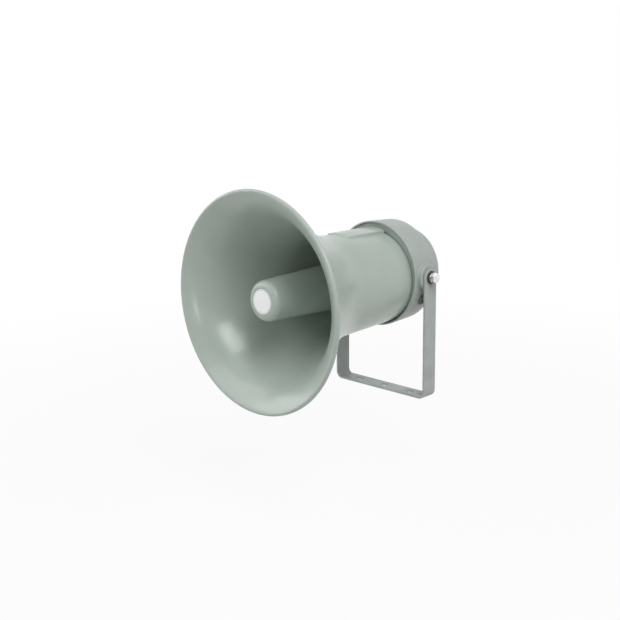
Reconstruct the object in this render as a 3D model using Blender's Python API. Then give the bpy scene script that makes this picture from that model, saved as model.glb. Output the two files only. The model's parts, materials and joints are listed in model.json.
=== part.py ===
"""Re-entrant PA horn speaker on a U-bracket, modelled in metres with +Z up.

The horn's axis runs along Y. Its mouth faces -Y, the bracket's legs stand at +X and -X, and the
origin is under the middle of the whole product, on the plane of the bracket's underside. Places
along the horn are stations: distances behind the rim's widest circle, growing towards the rear.
"""

import math

import bmesh
import bpy
from mathutils import Matrix, Vector

MM = 0.001
GAP = 0.3 * MM              # seating gap between two pieces that touch

# Bell: the flared outer horn with its round body
MOUTH_R = 110.0 * MM
RIM_BEAD_R = 2.2 * MM
BELL_WALL = 2.4 * MM
LIP_R = 92.0 * MM           # where the rolled lip turns into the plain flare
LIP_DEPTH = 9.5 * MM
LIP_ANGLE = math.radians(30.0)
LIP_END_ANGLE = math.radians(78.0)
FLARE_DEPTH = 98.0 * MM
BODY_R = 53.0 * MM          # where the flare meets the body
BODY_LENGTH = 85.0 * MM
BODY_DRAFT = math.radians(2.2)
PAD_ANGLE = math.radians(34.0)
PAD_HEIGHT = 1.7 * MM
PAD_START = 18.0 * MM       # behind the flare's end
PAD_TO_COVER = 0.8 * MM
BULKHEAD_DEPTH = 21.0 * MM  # front face ahead of the body's rear edge
BULKHEAD_T = 3.0 * MM
SCREW_BOSS_DEPTH = 7.0 * MM

# Driver
MAGNET_R = 30.0 * MM
MAGNET_BORE_R = 20.5 * MM
MAGNET_T = 13.0 * MM
TOP_PLATE_T = 5.0 * MM
BACK_PLATE_T = 5.0 * MM
FRONT_PLATE_T = 8.0 * MM
COIL_R = 17.0 * MM
COIL_WALL = 0.8 * MM
COIL_HEIGHT = 7.0 * MM
COIL_CLEARANCE = 0.8 * MM
DOME_HEIGHT = 3.6 * MM
DIAPHRAGM_T = 0.4 * MM
DOME_CLEARANCE = 0.9 * MM
CLAMP_RIM_R = 26.0 * MM
SURROUND_W = 3.5 * MM
THROAT_R = 8.0 * MM
PLUG_SLOT = 1.8 * MM        # sound slot between the phase plug and the throat
PLUG_TIP = 5.0 * MM
PLUG_RING_T = 1.5 * MM
PLUG_RING_W = 2.7 * MM
PLUG_LEG_W = 1.2 * MM

# Throat horn: the inner tube, with its flange, vanes and nose spider
GASKET_T = 1.0 * MM
THROAT_FLANGE_T = 3.0 * MM
THROAT_WALL = 1.6 * MM
THROAT_MOUTH_R = 12.0 * MM
VANE_T = 2.0 * MM
VANE_REACH = 32.0 * MM      # how far the vanes run into the reflector
SPIDER_T = 1.4 * MM
SPIDER_LENGTH = 12.0 * MM
NOSE_BOSS_R = 3.4 * MM

# Reflector: the bullet in the mouth, open at its rear
NOSE_DEPTH = 8.9 * MM
NOSE_R = 20.3 * MM
NOSE_CORNER_R = 6.7 * MM
REFLECTOR_WALL = 1.8 * MM
REFLECTOR_TAIL_ANGLE = math.radians(8.5)
REFLECTOR_TAPER = math.radians(2.0)
REFLECTOR_TO_BULKHEAD = 12.0 * MM
TURN_CLEARANCE = 21.0 * MM  # from the nose's face to the throat horn's mouth
LABEL_R = 12.4 * MM
LABEL_T = 0.9 * MM

# Rear cover and end cap
COVER_RISE = 3.7 * MM       # the cover's axis above the horn's axis
COVER_WALL = 1.9 * MM
COVER_CLEARANCE = 0.9 * MM  # under the body, where the cover comes nearest
COVER_OVERLAP = 8.5 * MM
COVER_DRAFT = math.radians(2.6)
COVER_EDGE_R = 2.6 * MM
COVER_REAR_WALL = 2.1 * MM
REAR_CLEARANCE = 4.4 * MM   # behind the driver's back plate
CAP_DEPTH = 20.0 * MM
CAP_WALL = 2.0 * MM
CAP_EDGE_R = 1.6 * MM
CAP_SEAL_T = 1.0 * MM
SPIGOT_T = 1.0 * MM
SPIGOT_HEIGHT = 3.0 * MM

# Long screws that clamp cover, driver and throat horn to the bell
SCREW_R = 1.9 * MM
SCREW_HEAD_R = 3.4 * MM
SCREW_HEAD_T = 2.6 * MM
SCREW_COUNT = 4
PILLAR_R = 3.3 * MM
PILLAR_CLEARANCE = 0.7 * MM
PLATE_MARGIN = 4.5 * MM     # plate material outside the screw circle

# Small countersunk screws: three in the end cap, one in the reflector's nose
SMALL_SCREW_R = 1.4 * MM
SMALL_HEAD_R = 2.8 * MM
SMALL_HEAD_T = 1.5 * MM
SMALL_HEAD_SINK = 0.15 * MM # the head's face below the surface round it
SMALL_SCREW_LENGTH = 11.0 * MM
CAP_SCREW_COUNT = 3
CAP_POST_R = 3.0 * MM
CAP_SCREW_CIRCLE_R = 34.0 * MM

# Line transformer and terminal block inside the end cap
CORE_W = 30.0 * MM
CORE_H = 25.0 * MM
CORE_T = 9.0 * MM
CORE_LIMB = 7.0 * MM
CORE_YOKE = 3.5 * MM
COIL_BLOCK_T = 14.0 * MM
TERMINAL_W = 28.0 * MM
TERMINAL_H = 8.0 * MM
TERMINAL_T = 9.0 * MM
TERMINAL_WAYS = 3

# Cable grommet in the cover's side
GROMMET_ANGLE = math.radians(-26.0)
GROMMET_R = 6.6 * MM
GROMMET_NECK_R = 4.6 * MM
GROMMET_BORE_R = 2.6 * MM
GROMMET_FLANGE_T = 2.0 * MM
GROMMET_AHEAD = 15.0 * MM   # ahead of the cover's rear face

# Pivot: side bosses, inserts, washers and bolts
PIVOT_RISE = 5.0 * MM       # the bolts' axis above the horn's axis
PIVOT_AHEAD = 17.3 * MM     # ahead of the cover's rear face
SIDE_BOSS_R = 13.6 * MM
SIDE_BOSS_STAND = 4.6 * MM
SIDE_BOSS_CLEARANCE = 1.0 * MM   # from the boss's inner end to the body
SIDE_BOSS_FLOOR = 1.4 * MM
BOLT_R = 3.0 * MM
BOLT_HEAD_FLATS = 10.0 * MM
BOLT_HEAD_T = 4.0 * MM
INSERT_WALL = 1.1 * MM
WASHER_R = 6.9 * MM
WASHER_T = 1.3 * MM
LOCK_WASHER_R = 5.4 * MM
LOCK_WASHER_T = 1.5 * MM
BOLT_CLEARANCE = 0.3 * MM

# Bracket
STRAP_W = 19.0 * MM
STRAP_T = 2.4 * MM
BRACKET_DROP = 131.3 * MM   # from the bolts' axis to the bracket's underside
BEND_R = 8.0 * MM           # outside of the bend
BASE_HOLE_R = 4.25 * MM
SLOT_R = 3.0 * MM
SLOT_LENGTH = 11.0 * MM
SLOT_SPACING = 72.0 * MM

# Facets
BELL_SIDES = 48
COVER_SIDES = 36
DRIVER_SIDES = 20
REFLECTOR_SIDES = 24
TUBE_SIDES = 20
SMALL_SIDES = 10
FLARE_STEPS = 6
LIP_STEPS = 3
BEAD_STEPS = 6
EDGE_STEPS = 2

# Worked-out stations, front to rear
BODY_END = FLARE_DEPTH + BODY_LENGTH
BULKHEAD_FRONT = BODY_END - BULKHEAD_DEPTH
BULKHEAD_REAR = BULKHEAD_FRONT + BULKHEAD_T
GASKET_FRONT = BULKHEAD_REAR + GAP
FLANGE_FRONT = GASKET_FRONT + GASKET_T + GAP
FLANGE_REAR = FLANGE_FRONT + THROAT_FLANGE_T
FRONT_PLATE_FRONT = FLANGE_REAR + GAP
FRONT_PLATE_REAR = FRONT_PLATE_FRONT + FRONT_PLATE_T
RIM_CLAMP_FRONT = FRONT_PLATE_REAR + GAP
TOP_PLATE_FRONT = RIM_CLAMP_FRONT + DIAPHRAGM_T + GAP
TOP_PLATE_REAR = TOP_PLATE_FRONT + TOP_PLATE_T
MAGNET_FRONT = TOP_PLATE_REAR + GAP
MAGNET_REAR = MAGNET_FRONT + MAGNET_T
BACK_PLATE_FRONT = MAGNET_REAR + GAP
BACK_PLATE_REAR = BACK_PLATE_FRONT + BACK_PLATE_T
COVER_INSIDE = BACK_PLATE_REAR + REAR_CLEARANCE
COVER_END = COVER_INSIDE + COVER_REAR_WALL
COVER_LIP = BODY_END - COVER_OVERLAP
SEAL_FRONT = COVER_END + GAP
CAP_FRONT = SEAL_FRONT + CAP_SEAL_T + GAP
CAP_END = CAP_FRONT + CAP_DEPTH
REFLECTOR_END = BULKHEAD_FRONT - REFLECTOR_TO_BULKHEAD
THROAT_FRONT = NOSE_DEPTH + TURN_CLEARANCE
PIVOT_STATION = COVER_END - PIVOT_AHEAD

# Worked-out radii and widths
SCREW_HOLE_R = SCREW_R + GAP
SCREW_CIRCLE_R = MAGNET_R + PILLAR_CLEARANCE + PILLAR_R
PLATE_R = SCREW_CIRCLE_R + PLATE_MARGIN
BULKHEAD_BORE_R = SCREW_CIRCLE_R - PLATE_MARGIN
VANE_R = BULKHEAD_BORE_R - 3 * GAP
BODY_IN_COVER_R = BODY_R - (BODY_LENGTH - COVER_OVERLAP) * math.tan(BODY_DRAFT)
COVER_LIP_R = BODY_IN_COVER_R + COVER_RISE + COVER_CLEARANCE + COVER_WALL
SCREW_DROP = SCREW_CIRCLE_R * math.sin(math.pi / SCREW_COUNT)
SCREW_SIDE = SCREW_CIRCLE_R * math.cos(math.pi / SCREW_COUNT)
CAP_R = (
    math.hypot(SCREW_SIDE, SCREW_DROP + COVER_RISE)
    + SCREW_HEAD_R + SPIGOT_T + 2 * GAP + CAP_WALL
)
COVER_PIVOT_R = COVER_LIP_R - (PIVOT_STATION - COVER_LIP) * math.tan(COVER_DRAFT)
BOSS_FACE_X = COVER_PIVOT_R + SIDE_BOSS_STAND
BOSS_BACK_X = BODY_IN_COVER_R + SIDE_BOSS_CLEARANCE
INSERT_LENGTH = BOSS_FACE_X - BOSS_BACK_X - SIDE_BOSS_FLOOR - 2 * GAP
LEG_INSIDE_X = BOSS_FACE_X + GAP
LEG_OUTSIDE_X = LEG_INSIDE_X + STRAP_T
INSERT_R = BOLT_R + BOLT_CLEARANCE + INSERT_WALL
RIM_Y = -(CAP_END - RIM_BEAD_R) / 2


def clear_scene():
    """Removes every object that the file opens with."""
    for item in list(bpy.data.objects):
        bpy.data.objects.remove(item, do_unlink=True)


def finish(name, colour, roughness, metallic):
    """Returns a plain surface finish as a Principled BSDF material."""
    material = bpy.data.materials.new(name)
    material.use_nodes = True
    shader = material.node_tree.nodes["Principled BSDF"]
    shader.inputs["Base Color"].default_value = (*colour, 1.0)
    shader.inputs["Roughness"].default_value = roughness
    shader.inputs["Metallic"].default_value = metallic
    material.diffuse_color = (*colour, 1.0)
    return material


def make_finishes():
    """Returns the finishes by name, from their linear colours."""
    return {
        "horn_plastic": finish("horn_plastic", (0.38, 0.44, 0.40), 0.45, 0.0),
        "painted_steel": finish("painted_steel", (0.36, 0.41, 0.38), 0.40, 0.0),
        "label_white": finish("label_white", (0.85, 0.86, 0.88), 0.35, 0.0),
        "zinc": finish("zinc", (0.70, 0.71, 0.72), 0.28, 1.0),
        "black_rubber": finish("black_rubber", (0.02, 0.022, 0.022), 0.70, 0.0),
        "ferrite": finish("ferrite", (0.05, 0.05, 0.055), 0.55, 0.0),
        "plated_steel": finish("plated_steel", (0.62, 0.60, 0.50), 0.35, 1.0),
        "copper": finish("copper", (0.72, 0.36, 0.20), 0.35, 1.0),
        "film": finish("film", (0.75, 0.60, 0.34), 0.40, 0.0),
        "brass": finish("brass", (0.78, 0.60, 0.28), 0.30, 1.0),
        "grey_plastic": finish("grey_plastic", (0.22, 0.24, 0.24), 0.50, 0.0),
    }


def new_object(name, bm, material, parent, location, smooth_angle=math.radians(32.0)):
    """Turns a bmesh into a named object at a place under its parent."""
    bmesh.ops.recalc_face_normals(bm, faces=bm.faces)
    mesh = bpy.data.meshes.new(name)
    bm.to_mesh(mesh)
    bm.free()
    mesh.shade_smooth()
    mesh.set_sharp_from_angle(angle=smooth_angle)
    if material:
        mesh.materials.append(material)
    item = bpy.data.objects.new(name, mesh)
    bpy.context.scene.collection.objects.link(item)
    item.parent = parent
    item.location = location
    return item


def turned_mesh(profile, sides, angle=2 * math.pi, start=0.0):
    """Spins a closed outline of (station, radius) points about the Y axis."""
    bm = bmesh.new()
    turn = Matrix.Rotation(-start, 3, "Y")
    points = [turn @ Vector((radius, station, 0.0)) for station, radius in profile]
    verts = [bm.verts.new(point) for point in points]
    edges = [bm.edges.new((a, b)) for a, b in zip(verts, verts[1:] + verts[:1])]
    full = abs(angle - 2 * math.pi) < 1e-9
    if not full:
        bm.faces.new(verts)
    bmesh.ops.spin(
        bm, geom=verts + edges, cent=(0, 0, 0), axis=(0, -1, 0),
        angle=angle, steps=sides, use_merge=full,
    )
    if not full:
        bm.edges.ensure_lookup_table()
        bmesh.ops.holes_fill(bm, edges=[e for e in bm.edges if e.is_boundary], sides=0)
    bmesh.ops.remove_doubles(bm, verts=bm.verts, dist=1e-7)
    return bm


def turned(name, profile, sides, material, parent, location):
    """Makes a turned piece from a closed (station, radius) outline."""
    return new_object(name, turned_mesh(profile, sides), material, parent, location)


def rod_mesh(length, radius, sides=SMALL_SIDES):
    """Returns a round rod that starts at the origin and runs along +Y."""
    outline = [(0.0, 0.0), (0.0, radius), (length, radius), (length, 0.0)]
    return turned_mesh(outline, sides)


def box_mesh(low, high):
    """Returns a box between two corners."""
    bm = bmesh.new()
    bmesh.ops.create_cube(bm, size=1.0)
    low, high = Vector(low), Vector(high)
    bmesh.ops.scale(bm, vec=high - low, verts=bm.verts)
    bmesh.ops.translate(bm, vec=(low + high) / 2, verts=bm.verts)
    return bm


def moved(bm, place, turn=None):
    """Turns a bmesh about the origin and then moves it."""
    if turn:
        bmesh.ops.rotate(bm, cent=(0, 0, 0), matrix=turn, verts=bm.verts)
    bmesh.ops.translate(bm, vec=place, verts=bm.verts)
    return bm


def joined(parts):
    """Returns one bmesh that holds several separate ones."""
    whole = bmesh.new()
    for bm in parts:
        mesh = bpy.data.meshes.new("part")
        bm.to_mesh(mesh)
        bm.free()
        whole.from_mesh(mesh)
        bpy.data.meshes.remove(mesh)
    return whole


def apply_boolean(item, tool_mesh, operation):
    """Adds, cuts or keeps a bmesh shape on an object, in the object's own frame."""
    tool = new_object(item.name + "_tool", tool_mesh, None, item.parent, item.location)
    tool.hide_render = True
    tool.display_type = "WIRE"
    step = item.modifiers.new(operation.lower(), "BOOLEAN")
    step.operation = operation
    step.solver = "EXACT"
    step.object = tool
    depsgraph = bpy.context.evaluated_depsgraph_get()
    result = bpy.data.meshes.new_from_object(item.evaluated_get(depsgraph))
    item.modifiers.clear()
    item.data = result
    bpy.data.objects.remove(tool, do_unlink=True)
    result.shade_smooth()
    result.set_sharp_from_angle(angle=math.radians(32.0))


def add(item, *shapes):
    """Unites shapes with an object, one by one."""
    for shape in shapes:
        apply_boolean(item, shape, "UNION")


def cut(item, *shapes):
    """Cuts shapes that don't touch each other out of an object in one step."""
    apply_boolean(item, joined(shapes), "DIFFERENCE")


def around(count, radius, start=0.0):
    """Returns evenly spaced (x, z) places on a circle about the Y axis."""
    turns = [start + 2 * math.pi * index / count for index in range(count)]
    return [(radius * math.cos(turn), radius * math.sin(turn)) for turn in turns]


def screw_places():
    """Returns the long screws' (x, z) places about the horn's axis."""
    return around(SCREW_COUNT, SCREW_CIRCLE_R, math.pi / SCREW_COUNT)


def screw_holes(front, rear, radius=SCREW_HOLE_R):
    """Returns cutters for the long screws between two stations."""
    length = rear - front
    return [moved(rod_mesh(length, radius), (x, front, z)) for x, z in screw_places()]


def bezier(start, start_handle, end_handle, end, steps):
    """Returns points on a cubic curve, without its first point."""
    corners = [Vector(corner) for corner in (start, start_handle, end_handle, end)]
    points = []
    for step in range(1, steps + 1):
        t = step / steps
        weights = ((1 - t) ** 3, 3 * t * (1 - t) ** 2, 3 * t * t * (1 - t), t ** 3)
        total = sum((w * corner for w, corner in zip(weights, corners)), Vector((0, 0)))
        points.append(tuple(total))
    return points


def arc(centre, radius, start, end, steps):
    """Returns points round a centre; angle 0 points rearward, 90 degrees outward."""
    turns = [start + (end - start) * step / steps for step in range(steps + 1)]
    return [
        (centre[0] + radius * math.cos(turn), centre[1] + radius * math.sin(turn))
        for turn in turns
    ]


def inset(curve, depth):
    """Returns a (station, radius) curve moved inward, square to itself."""
    points = []
    for index, point in enumerate(curve):
        before = Vector(curve[max(index - 1, 0)])
        after = Vector(curve[min(index + 1, len(curve) - 1)])
        along = (after - before).normalized()
        inward = Vector((-along.y, along.x))
        if inward.y > 0:
            inward = -inward
        points.append(tuple(Vector(point) + inward * depth))
    return points


def body_radius(station):
    """Returns the body's outer radius at a station."""
    return BODY_R - (station - FLARE_DEPTH) * math.tan(BODY_DRAFT)


def flare_curve():
    """Returns the bell's outer line from the body's rear edge to the rolled lip."""
    rear = (BODY_END, body_radius(BODY_END))
    meet = (FLARE_DEPTH, BODY_R)
    lip = (LIP_DEPTH, LIP_R)
    reach = FLARE_DEPTH - LIP_DEPTH
    meet_handle = (meet[0] - 0.18 * reach, meet[1] + 0.18 * reach * math.tan(BODY_DRAFT))
    run = 0.45 * reach
    lip_handle = (lip[0] + run * math.cos(LIP_ANGLE), lip[1] - run * math.sin(LIP_ANGLE))
    flare = bezier(meet, meet_handle, lip_handle, lip, FLARE_STEPS)
    end = (RIM_BEAD_R * 0.75, MOUTH_R - 2.1 * RIM_BEAD_R)
    near = 0.4 * (LIP_R - MOUTH_R)
    out_handle = (lip[0] + near * math.cos(LIP_ANGLE), lip[1] - near * math.sin(LIP_ANGLE))
    end_handle = (
        end[0] - near * math.cos(LIP_END_ANGLE) * 0.8,
        end[1] + near * math.sin(LIP_END_ANGLE) * 0.8,
    )
    rolled = bezier(lip, out_handle, end_handle, end, LIP_STEPS)
    return [rear, meet] + flare + rolled


def build_bell(finishes, parent, place):
    """Builds the bell: flare, rolled rim, body, top pad, bulkhead and screw bosses."""
    outer = flare_curve()
    bead = arc((0.0, MOUTH_R - RIM_BEAD_R), RIM_BEAD_R,
               math.radians(-45), math.radians(225), BEAD_STEPS)
    inner = inset(outer, BELL_WALL)
    inner[0] = (BODY_END, body_radius(BODY_END) - BELL_WALL)
    outline = outer + bead + inner[::-1]
    bell = turned("bell", outline, BELL_SIDES, finishes["horn_plastic"], parent, place)
    in_wall = body_radius(BULKHEAD_FRONT) - BELL_WALL / 2
    bulkhead = [
        (BULKHEAD_FRONT, BULKHEAD_BORE_R), (BULKHEAD_REAR, BULKHEAD_BORE_R),
        (BULKHEAD_REAR, in_wall), (BULKHEAD_FRONT, in_wall),
    ]
    boss_front = BULKHEAD_FRONT - SCREW_BOSS_DEPTH
    bosses = [
        moved(rod_mesh(SCREW_BOSS_DEPTH + BULKHEAD_T / 2, PILLAR_R + 0.5 * MM), (x, boss_front, z))
        for x, z in screw_places()
    ]
    pad_front = FLARE_DEPTH + PAD_START
    pad_rear = COVER_LIP - PAD_TO_COVER
    pad_top = body_radius(pad_front) + PAD_HEIGHT
    pad = [
        (pad_front, body_radius(pad_front) - BELL_WALL / 2),
        (pad_front, body_radius(pad_front) + 0.2 * PAD_HEIGHT),
        (pad_front + PAD_HEIGHT, pad_top),
        (pad_rear, pad_top),
        (pad_rear, body_radius(pad_rear) - BELL_WALL / 2),
    ]
    pad_mesh = turned_mesh(pad, 10, PAD_ANGLE, math.pi / 2 - PAD_ANGLE / 2)
    add(bell, turned_mesh(bulkhead, BELL_SIDES), *bosses, pad_mesh)
    cut(bell, *screw_holes(boss_front + 1.2 * MM, BULKHEAD_REAR + 1 * MM))
    return bell


def reflector_curve():
    """Returns the reflector's outer line from its open rear to its nose's corner."""
    rear = (REFLECTOR_END, VANE_R - 0.2 * MM)
    corner = (NOSE_DEPTH + NOSE_CORNER_R, NOSE_R)
    reach = rear[0] - corner[0]
    tail = 0.26 * reach
    front = 0.45 * reach
    rear_handle = (rear[0] - tail, rear[1] - tail * math.tan(REFLECTOR_TAIL_ANGLE))
    front_handle = (corner[0] + front, corner[1] + front * math.tan(REFLECTOR_TAPER))
    return [rear] + bezier(rear, rear_handle, front_handle, corner, FLARE_STEPS)


def reflector_inner_radius(station):
    """Returns the reflector's inner radius at a station by reading its inner line."""
    line = inset(reflector_curve(), REFLECTOR_WALL)
    for (s0, r0), (s1, r1) in zip(line, line[1:]):
        if s1 <= station <= s0:
            return r0 + (r1 - r0) * (station - s0) / (s1 - s0)
    return line[0][1]


def build_reflector(finishes, parent, place):
    """Builds the bullet-shaped reflector with its label seat and nose boss."""
    outer = reflector_curve()
    centre = (NOSE_DEPTH + NOSE_CORNER_R, NOSE_R - NOSE_CORNER_R)
    corner = arc(centre, NOSE_CORNER_R, math.pi / 2, math.pi, 5)[1:]
    seat_r = LABEL_R + GAP
    seat_s = NOSE_DEPTH + LABEL_T + GAP
    sink = screw_sink(seat_s)
    bore_r = SMALL_SCREW_R + GAP
    boss_end = THROAT_FRONT - SPIDER_LENGTH / 2 - GAP
    inner = inset(outer, REFLECTOR_WALL)
    inner[0] = (REFLECTOR_END, outer[0][1] - REFLECTOR_WALL)
    inner_corner = arc(centre, NOSE_CORNER_R - REFLECTOR_WALL, math.pi, math.pi / 2, 3)
    nose_inside = seat_s + REFLECTOR_WALL
    outline = (
        outer + corner
        + [(NOSE_DEPTH, seat_r), (seat_s, seat_r)] + sink
        + [(boss_end, bore_r), (boss_end, NOSE_BOSS_R)]
        + [(nose_inside, NOSE_BOSS_R), (nose_inside, inner_corner[0][1])]
        + inner_corner[1:-1] + inner[::-1]
    )
    return turned("reflector", outline, REFLECTOR_SIDES, finishes["horn_plastic"], parent, place)


def screw_sink(face):
    """Returns the countersink of a small screw below a face, as (station, radius) points."""
    return [(face, SMALL_HEAD_R + GAP), (face + SMALL_HEAD_T + GAP / 2, SMALL_SCREW_R + GAP)]


def small_screw(face, direction):
    """Returns a countersunk screw's outline under a face; direction is where it points."""
    top = face + direction * SMALL_HEAD_SINK
    neck = top + direction * SMALL_HEAD_T
    tip = face + direction * SMALL_SCREW_LENGTH
    return [(top, 0.0), (top, SMALL_HEAD_R), (neck, SMALL_SCREW_R),
            (tip - direction * 1 * MM, SMALL_SCREW_R), (tip, 0.0)]


def build_nose_pieces(finishes, parent, place):
    """Builds the plain label disc and the screw under it."""
    disc = [(NOSE_DEPTH, 0.0), (NOSE_DEPTH, LABEL_R - 0.3 * MM), (NOSE_DEPTH + 0.2 * MM, LABEL_R),
            (NOSE_DEPTH + LABEL_T, LABEL_R), (NOSE_DEPTH + LABEL_T, 0.0)]
    turned("label_disc", disc, REFLECTOR_SIDES, finishes["label_white"], parent, place)
    seat_s = NOSE_DEPTH + LABEL_T + GAP
    reach = THROAT_FRONT + SPIDER_LENGTH / 2 - seat_s
    screw = small_screw(seat_s, 1)
    screw[3:] = [(seat_s + reach - 1 * MM, SMALL_SCREW_R), (seat_s + reach, 0.0)]
    turned("nose_screw", screw, SMALL_SIDES, finishes["zinc"], parent, place)


def vane(outline, thickness, turn):
    """Returns a flat radial vane from a (station, radius) outline, turned about the horn's axis."""
    bm = bmesh.new()
    side = bm.faces.new([bm.verts.new((r, s, -thickness / 2)) for s, r in outline])
    spread = bmesh.ops.extrude_face_region(bm, geom=[side])
    raised = [v for v in spread["geom"] if isinstance(v, bmesh.types.BMVert)]
    bmesh.ops.translate(bm, vec=(0, 0, thickness), verts=raised)
    bmesh.ops.recalc_face_normals(bm, faces=bm.faces)
    return moved(bm, (0, 0, 0), Matrix.Rotation(turn, 3, "Y"))


def flat_vane(low_r, high_r, front, rear, thickness, turn):
    """Returns a rectangular radial vane between two stations."""
    outline = [(front, low_r), (front, high_r), (rear, high_r), (rear, low_r)]
    return vane(outline, thickness, turn)


def tube_mid_radius(station):
    """Returns the radius of the middle of the throat tube's wall at a station."""
    share = (station - THROAT_FRONT) / (FLANGE_FRONT - THROAT_FRONT)
    return THROAT_MOUTH_R + (THROAT_R - THROAT_MOUTH_R) * share + THROAT_WALL / 2


def build_throat_horn(finishes, parent, place):
    """Builds the inner horn: flange, flared tube, three stepped vanes and the nose spider."""
    mouth = THROAT_FRONT
    outline = [
        (mouth, THROAT_MOUTH_R), (mouth, THROAT_MOUTH_R + THROAT_WALL * 0.7),
        (mouth + 2 * MM, THROAT_MOUTH_R + THROAT_WALL),
        (FLANGE_FRONT, THROAT_R + THROAT_WALL), (FLANGE_FRONT, PLATE_R),
        (FLANGE_REAR, PLATE_R), (FLANGE_REAR, THROAT_R),
    ]
    horn = turned("throat_horn", outline, TUBE_SIDES, finishes["horn_plastic"], parent, place)
    turns = [math.pi / 2 + 2 * math.pi * index / 3 for index in range(3)]
    seat = REFLECTOR_END + GAP
    stops = [REFLECTOR_END - VANE_REACH * (1 - step / 3) for step in range(4)]
    flat = math.cos(math.pi / REFLECTOR_SIDES)
    inside = [(stop, reflector_inner_radius(stop) * flat - GAP) for stop in stops]
    root = FLANGE_FRONT + THROAT_FLANGE_T / 2
    long_vane = (
        [(root, tube_mid_radius(root)), (stops[0], tube_mid_radius(stops[0]))] + inside
        + [(seat, inside[-1][1]), (seat, VANE_R), (root, VANE_R)]
    )
    boss_front = mouth - SPIDER_LENGTH / 2
    spider_rear = mouth + SPIDER_LENGTH
    add(horn, *[vane(long_vane, VANE_T, turn) for turn in turns])
    add(horn, moved(rod_mesh(spider_rear - boss_front, NOSE_BOSS_R), (0, boss_front, 0)))
    add(horn, *[
        flat_vane(NOSE_BOSS_R / 2, tube_mid_radius(spider_rear), mouth + 1 * MM,
                  spider_rear - 0.5 * MM, SPIDER_T, turn)
        for turn in turns
    ])
    screw_tip = mouth + SPIDER_LENGTH / 2 + 1 * MM
    bore = moved(rod_mesh(screw_tip - boss_front + 1 * MM, SMALL_SCREW_R + GAP),
                 (0, boss_front - 1 * MM, 0))
    cut(horn, bore, *screw_holes(FLANGE_FRONT - 1 * MM, FLANGE_REAR + 1 * MM))
    return horn


def build_gasket(finishes, parent, place):
    """Builds the flat gasket between the bell's bulkhead and the throat horn."""
    outline = [(GASKET_FRONT, BULKHEAD_BORE_R), (GASKET_FRONT + GASKET_T, BULKHEAD_BORE_R),
               (GASKET_FRONT + GASKET_T, PLATE_R), (GASKET_FRONT, PLATE_R)]
    gasket = turned("horn_gasket", outline, DRIVER_SIDES, finishes["black_rubber"], parent, place)
    cut(gasket, *screw_holes(GASKET_FRONT - 1 * MM, GASKET_FRONT + GASKET_T + 1 * MM))


def dome_station(radius):
    """Returns the station of the diaphragm dome's front face at a radius."""
    return RIM_CLAMP_FRONT - DOME_HEIGHT * (1 - (radius / COIL_R) ** 2)


def build_front_plate(finishes, parent, place):
    """Builds the driver's front plate, hollowed to follow the dome."""
    ring_seat = FRONT_PLATE_FRONT + PLUG_RING_T + 2 * GAP
    seat_r = THROAT_R + PLUG_RING_W + GAP
    follow = [THROAT_R + (COIL_R - THROAT_R) * step / 3 for step in range(4)]
    cavity = [(dome_station(radius) - DOME_CLEARANCE, radius) for radius in follow]
    surround_r = COIL_R + SURROUND_W
    outline = (
        [(FRONT_PLATE_FRONT, seat_r), (ring_seat, seat_r), (ring_seat, THROAT_R)]
        + cavity
        + [(FRONT_PLATE_REAR - 2 * DOME_CLEARANCE, surround_r - 1 * MM),
           (FRONT_PLATE_REAR, surround_r), (FRONT_PLATE_REAR, PLATE_R),
           (FRONT_PLATE_FRONT, PLATE_R)]
    )
    plate = turned("front_plate", outline, DRIVER_SIDES, finishes["grey_plastic"], parent, place)
    cut(plate, *screw_holes(FRONT_PLATE_FRONT - 1 * MM, FRONT_PLATE_REAR + 1 * MM))


def build_phase_plug(finishes, parent, place):
    """Builds the phase plug: a bullet on three legs inside a seating ring."""
    ring_front = FRONT_PLATE_FRONT + GAP
    ring_rear = ring_front + PLUG_RING_T
    core_r = THROAT_R - PLUG_SLOT
    tail = dome_station(core_r) - DOME_CLEARANCE
    outline = [
        (ring_front - PLUG_TIP, 0.0), (ring_front - 0.8 * PLUG_TIP, 0.3 * core_r),
        (ring_front - 0.4 * PLUG_TIP, 0.65 * core_r), (ring_front, 0.85 * core_r),
        (ring_rear, 0.97 * core_r), (tail, core_r),
        (dome_station(0.5 * core_r) - DOME_CLEARANCE, 0.5 * core_r),
        (dome_station(0.0) - DOME_CLEARANCE, 0.0),
    ]
    plug = turned("phase_plug", outline, TUBE_SIDES - 8, finishes["grey_plastic"], parent, place)
    outer_r = THROAT_R + PLUG_RING_W
    ring = [(ring_front, THROAT_R), (ring_rear, THROAT_R), (ring_rear, outer_r),
            (ring_front, outer_r)]
    add(plug, turned_mesh(ring, TUBE_SIDES - 8))
    for index in range(3):
        turn = math.pi / 6 + 2 * math.pi * index / 3
        add(plug, flat_vane(0.4 * core_r, THROAT_R + 0.5 * PLUG_RING_W,
                            ring_front + 0.2 * MM, ring_rear - 0.2 * MM, PLUG_LEG_W, turn))


def build_diaphragm(finishes, parent, place):
    """Builds the thin dome with its rolled surround and clamped rim."""
    radii = [COIL_R * step / 4 for step in range(5)]
    front = [(dome_station(radius), radius) for radius in radii]
    roll_r = COIL_R + SURROUND_W / 2
    front += [(RIM_CLAMP_FRONT - DOME_CLEARANCE, roll_r), (RIM_CLAMP_FRONT, COIL_R + SURROUND_W),
              (RIM_CLAMP_FRONT, CLAMP_RIM_R)]
    rear = [(station + DIAPHRAGM_T, radius) for station, radius in reversed(front)]
    turned("diaphragm", front + rear, DRIVER_SIDES, finishes["film"], parent, place)


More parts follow.
